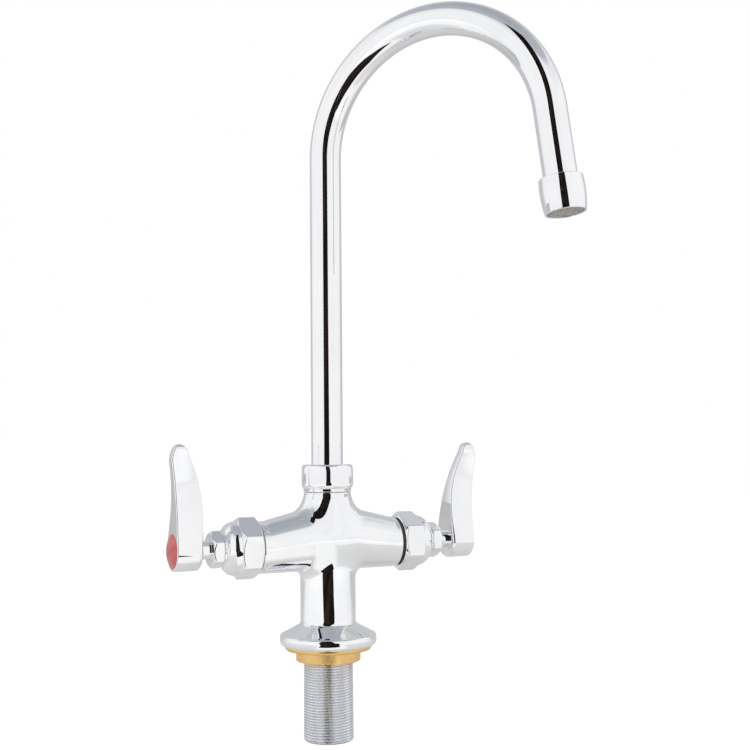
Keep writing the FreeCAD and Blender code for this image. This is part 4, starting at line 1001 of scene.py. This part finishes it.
def lever_half(height):
    """Half the lever's thickness, towards and away from the user, at a height over its axis."""
    heights = [row[0] for row in LEVER_HALVES]
    halves = [row[1] for row in LEVER_HALVES]
    slack = 10.0
    half = float(np.mean(np.interp(height + np.linspace(-slack, slack, 41), heights, halves)))
    into_tip = height - (LEVER_LENGTH - LEVER_TIP_ROUNDING)
    if into_tip > 0:
        half *= math.sqrt(max(1 - (into_tip / LEVER_TIP_ROUNDING) ** 2, 0.01))
    return half


def hollow_edge(height, start, end, radius):
    """Where a hollow arc from start to end, points of (x, height), is at a height; it bows to smaller x."""
    start = np.array(start, float)
    end = np.array(end, float)
    chord = end - start
    length = np.linalg.norm(chord)
    to_larger_x = np.array((chord[1], -chord[0])) / length
    centre = (start + end) / 2 + to_larger_x * math.sqrt(radius ** 2 - length ** 2 / 4)
    return centre[0] - math.sqrt(max(radius ** 2 - (height - centre[1]) ** 2, 0))


def tip_reach(height, start, width):
    """How far a lever's tip reaches from its top's middle: a quarter ellipse from start to the top."""
    climbed = (height - start) / (LEVER_LENGTH - start)
    return width * math.sqrt(max(1 - climbed ** 2, 0))


def lever_edges(height):
    """Inner and outer edge of a lever at a height over its axis."""
    inner = HUB_START
    outer = HUB_END
    if height > BLADE_FOOT:
        inner = hollow_edge(height, (HUB_START, BLADE_FOOT), (TIP_INNER, TIP_INNER_HEIGHT), INNER_HOLLOW)
    if height > TIP_INNER_HEIGHT:
        inner = TIP_TOP - tip_reach(height, TIP_INNER_HEIGHT, TIP_TOP - TIP_INNER)
    if height > FLARE_START:
        outer = hollow_edge(height, (HUB_END, FLARE_START), (TIP_OUTER, TIP_OUTER_HEIGHT), OUTER_HOLLOW)
    if height > TIP_OUTER_HEIGHT:
        outer = TIP_TOP + tip_reach(height, TIP_OUTER_HEIGHT, TIP_OUTER - TIP_TOP)
    return inner, outer


def lever_corner(height, half, rounding):
    """Quarter of a lever's section: points of (distance in from its end, half thickness)."""
    at_hub = height < 0
    first = 0.0
    if at_hub and -height > HUB_RADIUS - rounding:
        first = math.asin(np.clip(1 - (HUB_RADIUS + height) / rounding, 0, 1))
    points = []
    steps = 8
    for step in range(steps + 1):
        angle = first + (QUARTER_TURN - first) * step / steps
        inward = rounding * (1 - math.cos(angle))
        trimmed = rounding * (1 - math.sin(angle))
        wide = half - trimmed
        if at_hub:
            wide = math.sqrt(max((HUB_RADIUS - trimmed) ** 2 - height ** 2, 0))
        points.append((inward, max(wide, 0.02)))
    return points


def make_lever(side):
    """A loft of rounded oblongs, from under the hub to the blade's tip."""
    hub_steps = 20
    blade_steps = 70
    tip_steps = 36
    tip_start = 46.0
    tip = LEVER_LENGTH - tip_start - 0.02
    hub_fades = 15.0
    heights = [-HUB_RADIUS * math.cos(QUARTER_TURN * step / hub_steps) for step in range(hub_steps)]
    heights += [tip_start * step / blade_steps for step in range(blade_steps + 1)]
    heights += [tip_start + tip * math.sin(QUARTER_TURN * step / tip_steps)
                for step in range(1, tip_steps + 1)]
    vertices = []
    rings = []
    for height in heights:
        inner, outer = lever_edges(height)
        half = lever_half(height)
        room = NEARLY_HALF * (outer - inner)
        near_hub = 1 - float(smooth_step(height / hub_fades))
        inside = lever_corner(height, half, min(LEVER_EDGE + (HUB_ROUNDING - LEVER_EDGE) * near_hub, room))
        outside = lever_corner(height, half, min(LEVER_EDGE, room))
        front = [(inner + inward, wide, height) for inward, wide in inside]
        front += [(outer - inward, wide, height) for inward, wide in reversed(outside)]
        add_ring(vertices, rings, front + [(x, -wide, height) for x, wide, height in reversed(front)])
    faces = [tuple(reversed(rings[0])), tuple(rings[-1])]
    faces += joined(rings)[:-len(rings[0])]
    new_piece(f"{side}_lever_blade", (vertices, faces), f"{side}_handle", "chrome", lever_chrome,
              f"{side}_lever", side_matrix(side, True))


def make_button(side):
    """A flat dome with a small rim, pressed into the hub."""
    face = HUB_END - BUTTON_SEAT
    rim = HUB_END + 0.25
    dome = 17.5
    outline = rounded([
        (face, 0, 0), (face, BUTTON_RADIUS, 0.2), (rim, BUTTON_RADIUS, 0.35),
        *bulge((rim + 0.1, BUTTON_RADIUS - 0.5), (HUB_END + BUTTON_DOME, 0.0), dome, 16)[1:],
    ])
    new_piece(f"{side}_button_dome", turned(outline, "X"), f"{side}_handle", f"{side}_index",
              INDEX_PLASTIC[side], f"{side}_index_button", side_matrix(side, True))


make_casting_skin()
make_casting_flange()
make_casting_ends()
make_shank()
make_deck_washer()
make_lock_nut()
make_swivel_nut()
make_tube()
make_housing()
make_screen()
for side in SIDES:
    make_bonnet(side)
    make_bonnet_washer(side)
    make_packing_nut(side)
    make_lever(side)
    make_button(side)


# Solids that show their own shape

def dress_solids():
    """Give each solid that no mesh stands for its material."""
    for node, material in (
        ("swivel_washer", white_plastic), ("swivel_sleeve", inner_brass), ("swivel_o_ring_1", black_rubber),
        ("swivel_o_ring_2", black_rubber), ("outlet_adapter", inner_brass), ("aerator_washer", black_rubber),
        ("aerator_insert", grey_plastic),
    ):
        wear(node, material)
    for side in SIDES:
        for node, material in (
            ("valve_seat", inner_brass), ("seat_washer", black_rubber), ("seat_screw", inner_brass),
            ("piston", inner_brass), ("packing", white_plastic), ("spindle", nut_chrome),
            ("handle_screw", screw_steel),
        ):
            wear(f"{side}_{node}", material)


dress_solids()


# Camera: stands left of the front, low, and looks slightly up

CAMERA_SPOT = Vector((-0.25994, -0.59942, 0.10855))
CAMERA_YAW = math.radians(25.866)
CAMERA_PITCH = math.radians(3.7618)
CAMERA_ROLL = math.radians(-0.5154)
FOCAL_PIXELS = 1146.18
PHOTO_WIDTH = 750
SENSOR_WIDTH = 36.0
TO_RIGHT = Vector((math.cos(CAMERA_YAW), -math.sin(CAMERA_YAW), 0))
TO_CAMERA = Vector((-math.sin(CAMERA_YAW), -math.cos(CAMERA_YAW), 0))


def make_camera():
    """Turned by its yaw, then tipped up by its pitch, then rolled about its own line of sight."""
    forward = Vector((0, 0, math.sin(CAMERA_PITCH))) - TO_CAMERA * math.cos(CAMERA_PITCH)
    up = TO_RIGHT.cross(forward)
    rolled_right = TO_RIGHT * math.cos(CAMERA_ROLL) + up * math.sin(CAMERA_ROLL)
    rolled_up = up * math.cos(CAMERA_ROLL) - TO_RIGHT * math.sin(CAMERA_ROLL)
    data = bpy.data.cameras.new("photo_camera")
    data.sensor_width = SENSOR_WIDTH
    data.lens = FOCAL_PIXELS / PHOTO_WIDTH * SENSOR_WIDTH
    data.clip_start = 0.01
    camera = placed("photo_camera", data)
    turn = Matrix((rolled_right, rolled_up, -forward)).transposed().to_4x4()
    camera.matrix_world = Matrix.Translation(CAMERA_SPOT) @ turn
    bpy.context.scene.camera = camera


# Studio: a pale floor, a white tent with a dark opening around the camera, and two soft lamps

FLOOR_LEVEL = -0.0523
CARD_LEVEL = -0.050
GAP_DISTANCE = 1.5
FLOOR_REACH = 6.0
LAMP_AIM = Vector((0, 0, 0.1))


def combined(tree, operation, *values):
    """Several values as one, by ADD, MULTIPLY or the like, from the first on."""
    total = values[0]
    for value in values[1:]:
        total = new_node(tree, "Math", {0: total, 1: value}, operation=operation).outputs["Value"]
    return total


def seen_by(tree, *kinds):
    """One for rays of these kinds and nought for the rest."""
    path = new_node(tree, "LightPath", {})
    return combined(tree, "MAXIMUM", *(path.outputs[kind] for kind in kinds))


def studio_spot(sideways, distance, height):
    """A spot in the studio: to the camera's right, in front of the faucet towards the camera, and up."""
    return tuple(TO_RIGHT * sideways + TO_CAMERA * distance + Vector((0, 0, height)))


def stage_piece(name, corners, material):
    """A flat sheet of the studio, which is no part of the faucet."""
    mesh = new_mesh(name, (corners, [range(len(corners))]))
    mesh.materials.append(material)
    piece = placed(name, mesh)
    return piece


def make_floor():
    """A plain pale floor that shows white; in reflections it glows with painted light, whiter far off and
    before the faucet, and near the faucet it is left darker as painted shade.
    """
    material, tree, shader = new_material("pale_floor")
    tone = uneven(tree, 3, 2)
    place = object_place(tree)
    away = length_of(tree, place)
    before = dot(tree, place, studio_spot(0, 1, 0))
    to_right = combined(tree, "DIVIDE", dot(tree, place, studio_spot(1, 0, 0)), away)
    # Painted light for reflections only: a glow that grows with distance and in a strip before the faucet,
    # leaving painted shade near the faucet
    far_off = combined(tree, "ADD", ranged(tree, away, 0, 0.10, 0.05, 0.35),
                       ranged(tree, away, 0, 0.17, 0.38, 0.44), ranged(tree, away, 0, 0.16, 0.70, 2.50))
    middle = combined(tree, "MULTIPLY", ranged(tree, to_right, 0.28, 0, 0.60, 0.76),
                      ranged(tree, before, 0, 1, 0.05, 0.09), ranged(tree, to_right, 0, 1, -0.50, -0.30))
    not_behind = ranged(tree, before, 0, 1, -0.30, -0.15)
    reflected_glow = combined(tree, "MULTIPLY", combined(tree, "MAXIMUM", far_off, middle), not_behind,
                        seen_by(tree, "Is Glossy Ray"))
    shown = ranged(tree, seen_by(tree, "Is Camera Ray", "Is Transmission Ray"), 0.0, 0.52, 0, 1)
    fill_in(tree, shader, {
        "Base Color": mixed(tree, tone, (0.74, 0.74, 0.74), (0.80, 0.80, 0.79)), "Roughness": 0.9,
        "Specular IOR Level": 0.0, "Emission Color": (1, 1, 1, 1),
        "Emission Strength": combined(tree, "ADD", reflected_glow, shown),
    })
    corners = [(-1, -1), (1, -1), (1, 1), (-1, 1)]
    stage_piece("floor", [(x * FLOOR_REACH, y * FLOOR_REACH, FLOOR_LEVEL) for x, y in corners], material)


def make_card(name, outline, material):
    """A card that only shows in reflections; outline is (sideways, distance, height)."""
    card = stage_piece(name, [studio_spot(*corner) for corner in outline], material)
    card.visible_camera = False
    card.visible_diffuse = False
    card.visible_shadow = False


def make_dark_opening():
    """What the chrome's dark streaks mirror: the unlit room around the camera, and the floor before it."""
    material, tree, shader = new_material("unlit_room")
    clutter = uneven(tree, 5, 3, 0, 1, 0.45, 0.75)
    fill_in(tree, shader, {
        "Base Color": mixed(tree, clutter, (0.010, 0.009, 0.009), (0.050, 0.030, 0.020)),
        "Roughness": 1.0, "Specular IOR Level": 0.0,
    })
    make_card("room_opening", [(side, GAP_DISTANCE, height) for side, height in (
        (-0.60, -0.05), (0.50, -0.05), (0.50, 0.15), (0.44, 0.40), (0.38, 0.9), (0.34, 3.0),
        (-0.50, 3.0), (-0.50, 0.5), (-0.50, 0.12), (-0.55, 0.0),
    )], material)
    make_card("floor_opening", [(side, distance, CARD_LEVEL) for side, distance in (
        (-0.07, 0.21), (0.11, 0.21), (0.24, 0.44), (0.42, 0.97), (0.46, 1.49), (-0.60, 1.49), (-0.36, 0.97),
        (-0.12, 0.44),
    )], material)


def tent_colour(tree):
    """The tent by direction: white in front, grey overhead and behind the faucet, with soft folds."""
    direction = new_node(tree, "TexCoord", {}).outputs["Generated"]
    height = new_node(tree, "SeparateXYZ", {"Vector": direction}).outputs["Z"]
    overhead = new_node(tree, "ValToRGB", {"Fac": height})
    overhead.color_ramp.elements[0].position = 0.50
    overhead.color_ramp.elements[0].color = (1.0, 1.0, 1.0, 1)
    overhead.color_ramp.elements[1].position = 0.97
    overhead.color_ramp.elements[1].color = (0.42, 0.44, 0.48, 1)
    for position, shade in ((0.74, (0.90, 0.91, 0.93, 1)), (0.80, (0.54, 0.56, 0.59, 1))):
        overhead.color_ramp.elements.new(position).color = shade
    behind = ranged(tree, dot(tree, direction, tuple(TO_CAMERA)), 0, 1, -0.42, -0.60)
    backed = mixed(tree, behind, overhead.outputs["Color"], (0.62, 0.63, 0.665))
    folds = new_node(tree, "TexNoise", {"Vector": direction, "Scale": 2.2}).outputs["Fac"]
    return mixed(tree, 1.0, backed, ranged(tree, folds, 0.90, 1.0, 0.3, 0.7), blend="MULTIPLY")


def background(tree, colour, strength=1.0):
    return new_node(tree, "Background", {"Color": colour, "Strength": strength}).outputs["Background"]


def chosen(tree, share, plain, special):
    """The special shader for this share, and the plain one for the rest."""
    return new_node(tree, "MixShader", {"Fac": share, 1: plain, 2: special}).outputs["Shader"]


def make_world():
    """Plain light for all surfaces; the camera sees white, and reflections see the tent."""
    world = bpy.data.worlds.new("studio")
    bpy.context.scene.world = world
    world.use_nodes = True
    tree = world.node_tree
    tree.nodes.clear()
    white = (1, 1, 1, 1)
    tent = background(tree, tent_colour(tree))
    light = chosen(tree, seen_by(tree, "Is Glossy Ray"), background(tree, white, 0.66), tent)
    seen = chosen(tree, seen_by(tree, "Is Camera Ray", "Is Transmission Ray"), light, background(tree, white))
    new_node(tree, "OutputWorld", {"Surface": seen})


def make_lamp(name, spot, size, power):
    """A soft lamp aimed at the faucet, seen neither itself nor in reflections."""
    light = bpy.data.lights.new(name, "AREA")
    light.size = size
    light.energy = power
    lamp = placed(name, light)
    lamp.location = studio_spot(*spot)
    aim = LAMP_AIM - lamp.location
    lamp.rotation_mode = "QUATERNION"
    lamp.rotation_quaternion = aim.to_track_quat("-Z", "Y")
    lamp.visible_glossy = False
    lamp.visible_camera = False


make_camera()
make_floor()
make_dark_opening()
make_world()
make_lamp("key_light", (-0.9, 0.9, 1.1), 0.8, 7.0)
make_lamp("fill_light", (1.0, 0.7, 0.7), 0.8, 3.0)
bpy.context.scene.view_settings.view_transform = "Standard"
